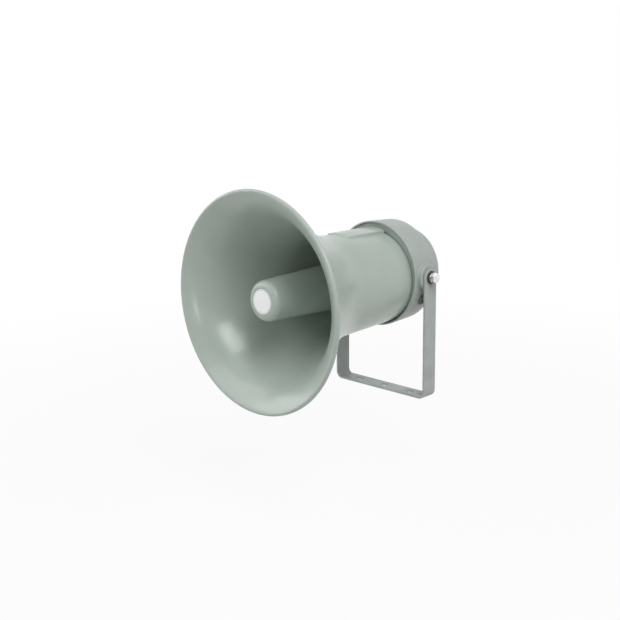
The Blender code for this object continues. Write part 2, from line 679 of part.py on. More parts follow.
def build_voice_coil(finishes, parent, place):
    """Builds the voice coil's former with its winding band."""
    front = RIM_CLAMP_FRONT + DIAPHRAGM_T + GAP
    band = front + 0.35 * COIL_HEIGHT
    thin = 0.4 * COIL_WALL
    outline = [
        (front, COIL_R - thin), (front, COIL_R), (band, COIL_R), (band, COIL_R + COIL_WALL - thin),
        (front + COIL_HEIGHT, COIL_R + COIL_WALL - thin), (front + COIL_HEIGHT, COIL_R - thin),
    ]
    return turned("voice_coil", outline, DRIVER_SIDES, finishes["copper"], parent, place)


def build_magnet_parts(finishes, parent, place):
    """Builds the top plate, the ferrite ring and the back plate with its pole."""
    bore_r = COIL_R + COIL_WALL + COIL_CLEARANCE
    top = [(TOP_PLATE_FRONT, CLAMP_RIM_R), (TOP_PLATE_FRONT + GAP, bore_r + 2 * GAP),
           (TOP_PLATE_FRONT + 1 * MM, bore_r), (TOP_PLATE_REAR, bore_r),
           (TOP_PLATE_REAR, PLATE_R), (TOP_PLATE_FRONT, PLATE_R)]
    plate = turned("top_plate", top, DRIVER_SIDES, finishes["plated_steel"], parent, place)
    cut(plate, *screw_holes(TOP_PLATE_FRONT - 1 * MM, TOP_PLATE_REAR + 1 * MM))
    chamfer = 0.8 * MM
    ring = [(MAGNET_FRONT, MAGNET_BORE_R), (MAGNET_REAR, MAGNET_BORE_R),
            (MAGNET_REAR, MAGNET_R - chamfer), (MAGNET_REAR - chamfer, MAGNET_R),
            (MAGNET_FRONT + chamfer, MAGNET_R), (MAGNET_FRONT, MAGNET_R - chamfer)]
    turned("ring_magnet", ring, DRIVER_SIDES, finishes["ferrite"], parent, place)
    pole_r = COIL_R - 0.4 * COIL_WALL - COIL_CLEARANCE
    pole_front = TOP_PLATE_FRONT + 0.5 * MM
    vent_r = 3.0 * MM
    back = [(pole_front, vent_r), (pole_front, pole_r - 0.5 * MM), (pole_front + 0.5 * MM, pole_r),
            (BACK_PLATE_FRONT, pole_r), (BACK_PLATE_FRONT, MAGNET_R),
            (BACK_PLATE_REAR - chamfer, MAGNET_R), (BACK_PLATE_REAR, MAGNET_R - chamfer),
            (BACK_PLATE_REAR, vent_r)]
    turned("back_plate", back, DRIVER_SIDES, finishes["plated_steel"], parent, place)


def cover_radius(station):
    """Returns the cover's outer radius at a station, about its own axis."""
    return COVER_LIP_R - (station - COVER_LIP) * math.tan(COVER_DRAFT)


def side_boss(side):
    """Returns one pivot boss, standing out of the cover's side to the bracket's leg."""
    length = BOSS_FACE_X - BOSS_BACK_X
    boss = [(0.0, 0.0), (0.0, SIDE_BOSS_R), (length - 0.8 * MM, SIDE_BOSS_R),
            (length, SIDE_BOSS_R - 0.8 * MM), (length, 0.0)]
    turn = Matrix.Rotation(-side * math.pi / 2, 3, "Z")
    start = (side * BOSS_BACK_X, PIVOT_STATION, PIVOT_RISE)
    return moved(turned_mesh(boss, TUBE_SIDES), start, turn)


def grommet_frame():
    """Returns the grommet's turn from +Y to its outward axis, and its seat on the cover."""
    station = COVER_END - GROMMET_AHEAD
    radius = cover_radius(station)
    radial = Vector((math.cos(GROMMET_ANGLE), 0, math.sin(GROMMET_ANGLE)))
    square = (radial + Vector((0, math.tan(COVER_DRAFT), 0))).normalized()
    turn = Vector((0, 1, 0)).rotation_difference(square).to_matrix()
    seat = radial * radius + Vector((0, station, COVER_RISE))
    return turn, seat


def build_cover(finishes, parent, place):
    """Builds the rear cover: cup, clamp pillars, pivot bosses, spigot, posts and holes."""
    centre = Vector((0, 0, COVER_RISE))
    fillet_s = COVER_END - COVER_EDGE_R
    edge_centre = (fillet_s, cover_radius(fillet_s) - COVER_EDGE_R)
    edge = arc(edge_centre, COVER_EDGE_R, math.pi / 2, 0.0, EDGE_STEPS)
    lip_round = 0.5 * MM
    spigot_r = CAP_R - CAP_WALL - GAP
    outline = (
        [(COVER_LIP, COVER_LIP_R - COVER_WALL), (COVER_LIP, COVER_LIP_R - lip_round),
         (COVER_LIP + lip_round, COVER_LIP_R)]
        + edge
        + [(COVER_END, spigot_r), (COVER_END + SPIGOT_HEIGHT, spigot_r - 0.3 * MM),
           (COVER_END + SPIGOT_HEIGHT, spigot_r - SPIGOT_T), (COVER_END, spigot_r - SPIGOT_T),
           (COVER_END, 5 * MM), (COVER_INSIDE, 5 * MM),
           (COVER_INSIDE, cover_radius(COVER_INSIDE) - COVER_WALL - 1 * MM),
           (COVER_INSIDE - 1 * MM, cover_radius(COVER_INSIDE) - COVER_WALL)]
    )
    bm = moved(turned_mesh(outline, COVER_SIDES), centre)
    cover = new_object("rear_cover", bm, finishes["horn_plastic"], parent, place)
    pillar_front = TOP_PLATE_REAR + GAP
    pillars = [
        moved(rod_mesh(COVER_INSIDE + 1 * MM - pillar_front, PILLAR_R), (x, pillar_front, z))
        for x, z in screw_places()
    ]
    posts = [
        moved(rod_mesh(cap_post_length(), CAP_POST_R), (x, COVER_INSIDE + 0.8 * MM, z + COVER_RISE))
        for x, z in around(CAP_SCREW_COUNT, CAP_SCREW_CIRCLE_R, math.pi / 2)
    ]
    add(cover, *pillars, *posts, side_boss(1), side_boss(-1))
    insert_holes = [
        moved(rod_mesh(INSERT_LENGTH + 2 * GAP + 1 * MM, INSERT_R + GAP, 16),
              (side * (BOSS_FACE_X + 1 * MM), PIVOT_STATION, PIVOT_RISE),
              Matrix.Rotation(side * math.pi / 2, 3, "Z"))
        for side in (1, -1)
    ]
    turn, seat = grommet_frame()
    depth = 2 * COVER_WALL + 4 * MM
    entry = moved(rod_mesh(depth, GROMMET_NECK_R + GAP, 16), (0, -depth / 2, 0))
    entry = moved(entry, seat, turn)
    post_bores = [
        moved(rod_mesh(cap_post_length(), SMALL_SCREW_R + GAP), (x, COVER_END + 3 * MM, z + COVER_RISE))
        for x, z in around(CAP_SCREW_COUNT, CAP_SCREW_CIRCLE_R, math.pi / 2)
    ]
    holes = screw_holes(pillar_front - 1 * MM, COVER_END + 1 * MM)
    cut(cover, *insert_holes, entry, *post_bores, *holes)
    return cover


def cap_post_length():
    """Returns the cap posts' length, from inside the cover's rear wall to the cap's inner face."""
    return CAP_END - CAP_WALL - GAP - (COVER_INSIDE + 0.8 * MM)


def build_cap(finishes, parent, place):
    """Builds the end cap with its rounded edge and recessed screw holes."""
    edge_centre = (CAP_END - CAP_EDGE_R, CAP_R - CAP_EDGE_R)
    edge = arc(edge_centre, CAP_EDGE_R, math.pi / 2, 0.0, EDGE_STEPS)
    inside = CAP_END - CAP_WALL
    in_r = CAP_R - CAP_WALL
    outline = (
        [(CAP_FRONT, in_r), (CAP_FRONT, CAP_R)] + edge
        + [(CAP_END, 0.0), (inside, 0.0), (inside, in_r - 1 * MM), (inside - 1 * MM, in_r)]
    )
    bm = moved(turned_mesh(outline, COVER_SIDES), (0, 0, COVER_RISE))
    cap = new_object("end_cap", bm, finishes["horn_plastic"], parent, place)
    places = around(CAP_SCREW_COUNT, CAP_SCREW_CIRCLE_R, math.pi / 2)
    over = 0.2 * MM
    cone = [(CAP_END + over, 0.0), (CAP_END + over, screw_sink(0.0)[0][1])]
    cone += [(CAP_END - depth, radius) for depth, radius in screw_sink(0.0)]
    cone += [(inside - 1 * MM, SMALL_SCREW_R + GAP), (inside - 1 * MM, 0.0)]
    cut(cap, *[moved(turned_mesh(cone, SMALL_SIDES), (x, 0, z + COVER_RISE)) for x, z in places])
    for index, (x, z) in enumerate(places, 1):
        bm = turned_mesh(small_screw(CAP_END, -1), SMALL_SIDES)
        bm = moved(bm, (x, 0, z + COVER_RISE))
        new_object(f"cap_screw_{index}", bm, finishes["zinc"], parent, place)


def build_seal(finishes, parent, place):
    """Builds the flat seal ring between the cover and the end cap."""
    in_r = CAP_R - CAP_WALL
    outline = [(SEAL_FRONT, in_r), (SEAL_FRONT + CAP_SEAL_T, in_r),
               (SEAL_FRONT + CAP_SEAL_T, CAP_R - 0.3 * MM), (SEAL_FRONT, CAP_R - 0.3 * MM)]
    bm = moved(turned_mesh(outline, COVER_SIDES), (0, 0, COVER_RISE))
    new_object("cap_seal", bm, finishes["black_rubber"], parent, place)


def build_long_screws(finishes, parent, place):
    """Builds the long screws that clamp the cover, the driver and the throat horn."""
    tip = BULKHEAD_FRONT - SCREW_BOSS_DEPTH + 3 * MM
    under = COVER_END + GAP
    head = SCREW_HEAD_R
    outline = [(tip, 0.0), (tip + 1.5 * MM, SCREW_R), (under, SCREW_R), (under, head),
               (under + 0.6 * SCREW_HEAD_T, head), (under + SCREW_HEAD_T, 0.6 * head),
               (under + SCREW_HEAD_T, 0.0)]
    for index, (x, z) in enumerate(screw_places(), 1):
        bm = moved(turned_mesh(outline, SMALL_SIDES), (x, 0, z))
        new_object(f"long_screw_{index}", bm, finishes["zinc"], parent, place)


def build_transformer(finishes, parent, place):
    """Builds the line transformer: a laminated core with two windows, and its coil."""
    front = COVER_END + GAP
    coil_rear = front + COIL_BLOCK_T
    core_front = front + (COIL_BLOCK_T - CORE_T) / 2
    low = COVER_RISE - CORE_H / 2 - 5 * MM
    bm = box_mesh((-CORE_W / 2, core_front, low), (CORE_W / 2, core_front + CORE_T, low + CORE_H))
    core = new_object("transformer_core", bm, finishes["plated_steel"], parent, place)
    windows = [
        box_mesh(
            (x - window_width() / 2, core_front - 1 * MM, low + CORE_YOKE),
            (x + window_width() / 2, core_front + CORE_T + 1 * MM, low + CORE_H - CORE_YOKE))
        for x in (-window_centre(), window_centre())
    ]
    cut(core, *windows)
    outer_x = window_centre() + window_width() / 2 - 2 * GAP
    bm = box_mesh((-outer_x, front, low + CORE_YOKE + GAP),
                  (outer_x, coil_rear, low + CORE_H - CORE_YOKE - GAP))
    coil = new_object("transformer_coil", bm, finishes["film"], parent, place)
    hole = box_mesh((-CORE_LIMB / 2 - GAP, core_front - GAP, low),
                    (CORE_LIMB / 2 + GAP, core_front + CORE_T + GAP, low + CORE_H))
    cut(coil, hole)


def window_width():
    """Returns the width of one window in the transformer's core."""
    return (CORE_W - 2 * CORE_YOKE - CORE_LIMB) / 2


def window_centre():
    """Returns how far a window's middle lies from the core's middle."""
    return CORE_LIMB / 2 + window_width() / 2


def build_terminals(finishes, parent, place):
    """Builds the screw terminal block above the transformer."""
    front = COVER_END + GAP
    low = COVER_RISE + CORE_H / 2 - 5 * MM + 1.5 * MM
    bm = box_mesh((-TERMINAL_W / 2, front, low), (TERMINAL_W / 2, front + TERMINAL_T, low + TERMINAL_H))
    block = new_object("terminal_block", bm, finishes["grey_plastic"], parent, place)
    pitch = TERMINAL_W / TERMINAL_WAYS
    wells = [
        moved(rod_mesh(5 * MM, 2.4 * MM),
              ((index - (TERMINAL_WAYS - 1) / 2) * pitch, front + TERMINAL_T - 4 * MM,
               low + TERMINAL_H / 2))
        for index in range(TERMINAL_WAYS)
    ]
    cut(block, *wells)


def build_grommet(finishes, parent, place):
    """Builds the rubber cable grommet in the cover's side."""
    neck = COVER_WALL + 2 * GAP
    sag = cover_radius(COVER_LIP) - math.sqrt(cover_radius(COVER_LIP) ** 2 - GROMMET_R ** 2)
    outline = [
        (-neck - sag - 1.4 * MM, GROMMET_BORE_R), (GROMMET_FLANGE_T, GROMMET_BORE_R),
        (GROMMET_FLANGE_T, GROMMET_R - 1.2 * MM), (GROMMET_FLANGE_T - 0.9 * MM, GROMMET_R),
        (GAP, GROMMET_R), (GAP, GROMMET_NECK_R), (-neck - sag, GROMMET_NECK_R),
        (-neck - sag - 1.4 * MM, GROMMET_NECK_R - 0.7 * MM),
    ]
    turn, seat = grommet_frame()
    bm = moved(turned_mesh(outline, SMALL_SIDES + 8), seat, turn)
    new_object("cable_grommet", bm, finishes["black_rubber"], parent, place)


def outward(bm, side):
    """Turns a shape that runs along +Y so that it runs out along the bolts' axis."""
    return moved(bm, (0, 0, 0), Matrix.Rotation(-side * math.pi / 2, 3, "Z"))


def pivot_piece(name, outline, side, sides, material, parent):
    """Makes a piece turned about the bolts' axis; outline stations run outward from the centre."""
    return new_object(name, outward(turned_mesh(outline, sides), side), material, parent, (0, 0, 0))


def build_pivot_hardware(finishes, pivot):
    """Builds each side's insert, rubber washer, lock washer and hexagon bolt."""
    for side, word in ((1, "right"), (-1, "left")):
        insert_end = BOSS_FACE_X - GAP
        bore_r = BOLT_R + BOLT_CLEARANCE
        insert = [(insert_end - INSERT_LENGTH, bore_r), (insert_end - INSERT_LENGTH, INSERT_R),
                  (insert_end, INSERT_R), (insert_end, bore_r)]
        pivot_piece(f"{word}_insert", insert, side, 14, finishes["brass"], pivot)
        flat = LEG_OUTSIDE_X + GAP
        washer = [(flat, bore_r), (flat, WASHER_R), (flat + WASHER_T, WASHER_R),
                  (flat + WASHER_T, bore_r)]
        pivot_piece(f"{word}_washer", washer, side, 16, finishes["black_rubber"], pivot)
        lock = flat + WASHER_T + GAP
        lock_ring = [(lock, bore_r), (lock, LOCK_WASHER_R), (lock + LOCK_WASHER_T, LOCK_WASHER_R),
                     (lock + LOCK_WASHER_T, bore_r)]
        pivot_piece(f"{word}_lock_washer", lock_ring, side, 14, finishes["zinc"], pivot)
        head = lock + LOCK_WASHER_T + GAP
        tip = insert_end - INSERT_LENGTH + GAP
        corner_r = BOLT_HEAD_FLATS / 2 / math.cos(math.pi / 6)
        face = head + BOLT_HEAD_T
        block = [(head, 0.0), (head, corner_r), (face, corner_r), (face, 0.0)]
        bolt = pivot_piece(f"{word}_bolt", block, side, 6, finishes["zinc"], pivot)
        crown = [(head - 1 * MM, 0.0), (head - 1 * MM, corner_r + 1 * MM),
                 (face - 1.5 * MM, corner_r + 1 * MM), (face + 0.5 * MM, corner_r - 2.4 * MM),
                 (face + 0.5 * MM, 0.0)]
        apply_boolean(bolt, outward(turned_mesh(crown, 24), side), "INTERSECT")
        shank = [(tip, 0.0), (tip, BOLT_R - 0.5 * MM), (tip + 0.5 * MM, BOLT_R),
                 (head + 1 * MM, BOLT_R), (head + 1 * MM, 0.0)]
        add(bolt, outward(turned_mesh(shank, SMALL_SIDES), side))


def build_bracket(finishes):
    """Builds the U-bracket: bent strap, rounded leg ends, bolt holes, base hole and slots."""
    outer_x = LEG_OUTSIDE_X
    top = STRAP_W
    path = []
    for sign, start in ((1, 0.0), (-1, -math.pi / 2)):
        centre = Vector((sign * (outer_x - BEND_R), BEND_R))
        turns = [start - math.pi / 2 * step / 5 for step in range(6)]
        path.append([(centre, turn) for turn in turns])
    outer = [(outer_x, BRACKET_DROP + top)]
    inner = [(outer_x - STRAP_T, BRACKET_DROP + top)]
    for corner in path:
        for centre, turn in corner:
            direction = Vector((math.cos(turn), math.sin(turn)))
            outer.append(tuple(centre + direction * BEND_R))
            inner.append(tuple(centre + direction * (BEND_R - STRAP_T)))
    outer.append((-outer_x, BRACKET_DROP + top))
    inner.append((-outer_x + STRAP_T, BRACKET_DROP + top))
    bm = bmesh.new()
    verts = [bm.verts.new((x, -STRAP_W / 2, z)) for x, z in outer + inner[::-1]]
    face = bm.faces.new(verts)
    spread = bmesh.ops.extrude_face_region(bm, geom=[face])
    moved_verts = [v for v in spread["geom"] if isinstance(v, bmesh.types.BMVert)]
    bmesh.ops.translate(bm, vec=(0, STRAP_W, 0), verts=moved_verts)
    pivot_y = RIM_Y + PIVOT_STATION
    bracket = new_object("bracket", bm, finishes["painted_steel"], None, (0, pivot_y, 0))
    round_end = bmesh.new()
    width = 2 * outer_x + 4 * MM
    turns = [math.pi * step / 12 for step in range(13)]
    side_view = [(STRAP_W / 2 * math.cos(t), BRACKET_DROP + STRAP_W / 2 * math.sin(t)) for t in turns]
    side_view = [(STRAP_W / 2 + 1 * MM, -2 * MM), (STRAP_W / 2 + 1 * MM, BRACKET_DROP)] + side_view
    side_view += [(-STRAP_W / 2 - 1 * MM, BRACKET_DROP), (-STRAP_W / 2 - 1 * MM, -2 * MM)]
    ring = [round_end.verts.new((-width / 2, y, z)) for y, z in side_view]
    cap_face = round_end.faces.new(ring)
    spread = bmesh.ops.extrude_face_region(round_end, geom=[cap_face])
    moved_verts = [v for v in spread["geom"] if isinstance(v, bmesh.types.BMVert)]
    bmesh.ops.translate(round_end, vec=(width, 0, 0), verts=moved_verts)
    apply_boolean(bracket, round_end, "INTERSECT")
    across = Matrix.Rotation(-math.pi / 2, 3, "Z")
    upright = Matrix.Rotation(math.pi / 2, 3, "X")
    bolt_hole = moved(rod_mesh(width, BOLT_R + BOLT_CLEARANCE, 16),
                      (-width / 2, 0, BRACKET_DROP), across)
    base_hole = moved(rod_mesh(3 * STRAP_T, BASE_HOLE_R, 20), (0, 0, -STRAP_T), upright)
    cutters = [bolt_hole, base_hole]
    for sign in (1, -1):
        cutters.append(slot_cutter(sign * SLOT_SPACING / 2))
    cut(bracket, *cutters)
    return bracket


def slot_cutter(x):
    """Returns the cutter of one long hole in the bracket's base, centred at x."""
    half = SLOT_LENGTH / 2 - SLOT_R
    turns = [math.pi * step / 6 - math.pi / 2 for step in range(7)]
    right = [(x + half + SLOT_R * math.cos(t), SLOT_R * math.sin(t)) for t in turns]
    left = [(x - half - SLOT_R * math.cos(t), -SLOT_R * math.sin(t)) for t in turns]
    bm = bmesh.new()
    face = bm.faces.new([bm.verts.new((px, py, -STRAP_T)) for px, py in right + left])
    spread = bmesh.ops.extrude_face_region(bm, geom=[face])
    raised = [v for v in spread["geom"] if isinstance(v, bmesh.types.BMVert)]
    bmesh.ops.translate(bm, vec=(0, 0, 3 * STRAP_T), verts=raised)
    return bm


def main():
    """Builds the whole speaker."""
    clear_scene()
    finishes = make_finishes()
    pivot = bpy.data.objects.new("tilt_axis", None)
    bpy.context.scene.collection.objects.link(pivot)
    pivot.location = (0, RIM_Y + PIVOT_STATION, BRACKET_DROP)
    place = Vector((0, -PIVOT_STATION, -PIVOT_RISE))
    build_bracket(finishes)
    build_bell(finishes, pivot, place)
    build_reflector(finishes, pivot, place)
    build_nose_pieces(finishes, pivot, place)
    build_throat_horn(finishes, pivot, place)
    build_gasket(finishes, pivot, place)
    build_front_plate(finishes, pivot, place)
    build_phase_plug(finishes, pivot, place)
    build_diaphragm(finishes, pivot, place)
    build_voice_coil(finishes, pivot, place)
    build_magnet_parts(finishes, pivot, place)
    build_cover(finishes, pivot, place)
    build_cap(finishes, pivot, place)
    build_seal(finishes, pivot, place)
    build_long_screws(finishes, pivot, place)
    build_transformer(finishes, pivot, place)
    build_terminals(finishes, pivot, place)
    build_grommet(finishes, pivot, place)
    build_pivot_hardware(finishes, pivot)


main()
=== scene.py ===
"""A round re-entrant PA horn speaker on its U-bracket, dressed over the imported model.

Lengths are metres. The horn's axis runs along Y with the mouth at -Y. Places along it are stations:
distances behind the widest circle of the rim. Angles about an axis start at +X and grow towards +Z.
"""

import json
import logging
import math
from collections.abc import Sequence
from dataclasses import dataclass, replace
from enum import Enum

import bmesh
import bpy
import numpy as np
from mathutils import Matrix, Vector


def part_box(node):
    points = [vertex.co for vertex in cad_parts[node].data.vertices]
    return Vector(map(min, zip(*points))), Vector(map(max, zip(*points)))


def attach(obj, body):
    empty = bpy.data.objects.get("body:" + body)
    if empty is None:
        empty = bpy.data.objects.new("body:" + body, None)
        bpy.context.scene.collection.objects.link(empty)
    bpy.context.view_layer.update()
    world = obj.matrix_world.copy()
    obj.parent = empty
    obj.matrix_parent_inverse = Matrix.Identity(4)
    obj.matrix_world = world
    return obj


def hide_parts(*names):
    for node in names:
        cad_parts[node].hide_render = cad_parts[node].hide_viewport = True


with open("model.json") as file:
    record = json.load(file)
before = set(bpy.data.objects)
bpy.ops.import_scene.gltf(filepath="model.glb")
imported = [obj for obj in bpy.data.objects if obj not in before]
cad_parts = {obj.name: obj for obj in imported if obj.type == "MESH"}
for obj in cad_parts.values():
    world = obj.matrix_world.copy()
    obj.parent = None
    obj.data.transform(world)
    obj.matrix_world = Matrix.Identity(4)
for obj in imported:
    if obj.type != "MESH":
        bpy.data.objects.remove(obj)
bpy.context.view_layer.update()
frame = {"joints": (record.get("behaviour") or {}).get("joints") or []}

logging.basicConfig(level=logging.INFO, format="%(message)s")
LOG = logging.getLogger("horn")

Tree = bpy.types.NodeTree
Node = bpy.types.Node
Point = tuple[float, float, float]

MM = 0.001
TAU = 2 * math.pi
RIGHT_ANGLE = math.pi / 2
# Between pieces that are screwed together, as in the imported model
GAP = 0.3 * MM
# How far a cutter or a joined part reaches past a face
OVER = 1 * MM
# Points nearer than this become one, in a mesh and in an outline
MERGE = 2e-7
REPEAT = 1e-7
# The most that a rounding takes of a side, and what keeps a division by a vanishing length finite
SIDE_SHARE = 0.48
TINY = 1e-12
# Degrees past which an edge between two faces stays sharp
CREASE = 28.0
HEX_CREASE = 24.0


class Body(Enum):
    """The rigid bodies that the dressed pieces ride on."""

    BRACKET = "bracket"
    HORN = "horn"


class Side(Enum):
    """The speaker's two sides; the value is the sign of X."""

    RIGHT = 1
    LEFT = -1


class Grooves(Enum):
    """How grooves run: the wave texture's type and its axis."""

    RINGS_ABOUT_Y = ("RINGS", "Y")
    BANDS_ALONG_X = ("BANDS", "X")
    BANDS_ALONG_Y = ("BANDS", "Y")
    BANDS_ALONG_Z = ("BANDS", "Z")


# Colour and node helpers


def linear(code: str) -> tuple[float, float, float, float]:
    """Turns an sRGB hex colour into linear light.

    Args:
        code: six hex digits after a hash sign.

    Returns:
        The colour as linear red, green, blue and an alpha of one.
    """
    parts = np.array([int(code[i:i + 2], 16) for i in (1, 3, 5)]) / 255
    light = np.where(parts <= 0.04045, parts / 12.92, ((parts + 0.055) / 1.055) ** 2.4)
    return (*light.tolist(), 1.0)


def add(tree: Tree, kind: str, links: dict[str, object] | None = None, **settings: object) -> Node:
    """Adds one node with its settings and its links.

    Args:
        tree: the node tree that gets it.
        kind: the node's type name without its ShaderNode prefix.
        links: socket name to a value or to another node's output socket.
        settings: attributes of the node itself.

    Returns:
        The new node.
    """
    node = tree.nodes.new("ShaderNode" + kind)
    for name, value in settings.items():
        setattr(node, name, value)
    for name, value in (links or {}).items():
        socket = node.inputs[int(name) if name.isdigit() else name]
        if isinstance(value, bpy.types.NodeSocket):
            tree.links.new(value, socket)
        else:
            socket.default_value = value
    return node


def feed(tree: Tree, socket: str, output: bpy.types.NodeSocket) -> None:
    """Links an output to a socket of the material's surface shader."""
    tree.links.new(output, tree.nodes["Principled BSDF"].inputs[socket])


# Surface helpers


@dataclass(frozen=True)
class Spindle:
    """A line that outlines are turned about."""

    origin: Point
    along: Point = (0.0, 1.0, 0.0)
    zero: Point = (1.0, 0.0, 0.0)

    def grid(
        self, stations: np.ndarray | float, radii: np.ndarray | float, angles: np.ndarray
    ) -> np.ndarray:
        """Places points: origin + station·along + radius·(cos angle·zero + sin angle·side).

        Args:
            stations: distances along the line.
            radii: distances from the line.
            angles: turns about the line, from the zero direction.

        Returns:
            The points; the three arrays are broadcast against each other.
        """
        along, zero = np.array(self.along), np.array(self.zero)
        side = np.cross(zero, along)
        stations, radii, angles = np.broadcast_arrays(stations, radii, angles)
        spread = radii[..., None] * (np.cos(angles)[..., None] * zero + np.sin(angles)[..., None] * side)
        return np.array(self.origin) + stations[..., None] * along + spread

    def turn(self, outline: np.ndarray, count: int = 64) -> np.ndarray:
        """Turns a closed (station, radius) outline through a whole circle.

        Args:
            outline: the outline's points, one row each.
            count: the points round the circle.

        Returns:
            A grid with one row for each outline point.
        """
        return self.grid(outline[:, :1], outline[:, 1:], np.arange(count) * TAU / count)

    def around(self, radius: float, turns: np.ndarray) -> list["Spindle"]:
        """Returns parallel lines that stand on a circle round this one, one at each turn."""
        return [replace(self, origin=tuple(place)) for place in self.grid(0.0, radius, turns)]


def rounded(corners: Sequence[Point], steps: int = 5) -> np.ndarray:
    """Rounds the corners of a closed outline.

    Each corner becomes the parabola (1-t)²·a + 2t(1-t)·corner + t²·b. Its ends a and b lie on the
    two sides, radius·tan(turn/2) away from the corner, and at most SIDE_SHARE of a side away.

    Args:
        corners: station, radius and the corner's own rounding.
        steps: the spans of each rounded corner.

    Returns:
        The outline's points, without repeats.
    """
    table = np.array(corners)
    here, fillet = table[:, :2], table[:, 2]
    back, ahead = np.roll(here, 1, 0) - here, np.roll(here, -1, 0) - here
    back_len, ahead_len = np.linalg.norm(back, axis=1), np.linalg.norm(ahead, axis=1)
    cosine = (back * ahead).sum(1) / np.maximum(back_len * ahead_len, TINY)
    half_turn = (math.pi - np.arccos(np.clip(cosine, -1, 1))) / 2
    reach = np.minimum(fillet * np.tan(half_turn), SIDE_SHARE * np.minimum(back_len, ahead_len))
    start = here + back * (reach / np.maximum(back_len, TINY))[:, None]
    end = here + ahead * (reach / np.maximum(ahead_len, TINY))[:, None]
    t = np.linspace(0, 1, steps + 1)[None, :, None]
    arcs = (1 - t) ** 2 * start[:, None] + 2 * t * (1 - t) * here[:, None] + t ** 2 * end[:, None]
    points = arcs.reshape(-1, 2)
    apart = np.linalg.norm(points - np.roll(points, 1, 0), axis=1) > REPEAT
    return points[apart]


def ring(
    near: float, far: float, inner: float, outer: float, fillets_mm: Sequence[float], steps: int = 5
) -> np.ndarray:
    """Rounds the four corners of a flat ring's outline.

    Args:
        near: the station of its first face.
        far: the station of its other face.
        inner: the bore's radius.
        outer: the rim's radius.
        fillets_mm: the roundings at the first face's bore and rim, then at the other's rim and bore.
        steps: the spans of each rounded corner.

    Returns:
        The outline's points.
    """
    corners = ((near, inner), (near, outer), (far, outer), (far, inner))
    return rounded([(*place, fillet * MM) for place, fillet in zip(corners, fillets_mm)], steps)


def bezier(corners: Sequence[tuple[float, float]], steps: int) -> np.ndarray:
    """Works out a cubic: the sum of each control corner times its Bernstein weight.

    Args:
        corners: the four control corners.
        steps: the spans between the points.

    Returns:
        The points, one a row.
    """
    t = np.linspace(0, 1, steps + 1)[:, None]
    a, b, c, d = (np.array(corner) for corner in corners)
    return (1 - t) ** 3 * a + 3 * t * (1 - t) ** 2 * b + 3 * t ** 2 * (1 - t) * c + t ** 3 * d


def arc(centre: tuple[float, float], radius: float, start: float, end: float, steps: int) -> np.ndarray:
    """Returns points centre + radius·(cos t, sin t) for t from start to end."""
    t = np.linspace(start, end, steps + 1)
    return np.stack([centre[0] + radius * np.cos(t), centre[1] + radius * np.sin(t)], 1)


def inset(curve: np.ndarray, depth: float) -> np.ndarray:
    """Moves a (station, radius) curve towards the axis, square to itself.

    Args:
        curve: the points in order.
        depth: how far they move.

    Returns:
        curve + depth·normal, with the normal's sign chosen so that the radius shrinks.
    """
    along = np.gradient(curve, axis=0)
    along /= np.linalg.norm(along, axis=1)[:, None]
    normal = np.stack([-along[:, 1], along[:, 0]], 1)
    normal *= -np.sign(normal[:, 1:])
    return curve + depth * normal


def fair(curve: np.ndarray, spacing: float, passes: int) -> np.ndarray:
    """Spaces a curve's points evenly along its length, then evens out its bends.

    Each pass moves every point but the ends to a quarter, half and quarter of itself and its neighbours.

    Args:
        curve: the curve's points, one a row.
        spacing: the distance between the new points.
        passes: how often the points are moved.

    Returns:
        The new points.
    """
    length = np.concatenate([[0.0], np.cumsum(np.linalg.norm(np.diff(curve, axis=0), axis=1))])
    places = np.linspace(0.0, length[-1], int(length[-1] / spacing) + 1)
    even = np.stack([np.interp(places, length, curve[:, column]) for column in (0, 1)], 1)
    for _ in range(passes):
        even[1:-1] = (even[:-2] + 2 * even[1:-1] + even[2:]) / 4
    return even


def smooth(share: np.ndarray) -> np.ndarray:
    """Returns 3t² - 2t³ of the share clipped to 0 to 1."""
    t = np.clip(share, 0, 1)
    return t * t * (3 - 2 * t)


class Shell:
    """Gathers closed grids of points and puts them into one mesh."""

    def __init__(self) -> None:
        """Starts with no points."""
        self.points: list[np.ndarray] = []
        self.quads: list[np.ndarray] = []
        self.size = 0

    def add(self, grid: np.ndarray, loop_rows: bool = True, loop_columns: bool = True) -> "Shell":
        """Adds a grid of points, joined to its neighbours in rows and columns.

        Args:
            grid: rows by columns by three.
            loop_rows: whether the last row joins the first.
            loop_columns: whether the last column joins the first.

        Returns:
            The shell itself.
        """
        rows, columns = grid.shape[:2]
        index = np.arange(rows * columns).reshape(rows, columns) + self.size
        index = np.vstack([index, index[:1]]) if loop_rows else index
        index = np.hstack([index, index[:, :1]]) if loop_columns else index
        quads = np.stack([index[:-1, :-1], index[:-1, 1:], index[1:, 1:], index[1:, :-1]], -1)
        self.points.append(grid.reshape(-1, 3))
        self.quads.append(quads.reshape(-1, 4))
        self.size += rows * columns
        return self

    def make(self, name: str, finish: "Finish | None" = None, crease: float = CREASE) -> bpy.types.Object:
        """Puts the gathered grids into one object, merged, facing outwards and smooth-shaded.

        Args:
            name: the object's name.
            finish: what its surface is made of.
            crease: the angle in degrees past which an edge stays sharp.

        Returns:
            The object, at the origin.
        """
        mesh = bpy.data.meshes.new(name)
        mesh.from_pydata(np.concatenate(self.points).tolist(), [], np.concatenate(self.quads).tolist())
        bm = bmesh.new()
        bm.from_mesh(mesh)
        bmesh.ops.remove_doubles(bm, verts=bm.verts, dist=MERGE)
        bmesh.ops.recalc_face_normals(bm, faces=bm.faces)
        bm.to_mesh(mesh)
        bm.free()
        mesh.shade_smooth()
        mesh.set_sharp_from_angle(angle=math.radians(crease))
        item = bpy.data.objects.new(name, mesh)
        bpy.context.scene.collection.objects.link(item)
        if finish:
            item.data.materials.append(finish.material())
        return item


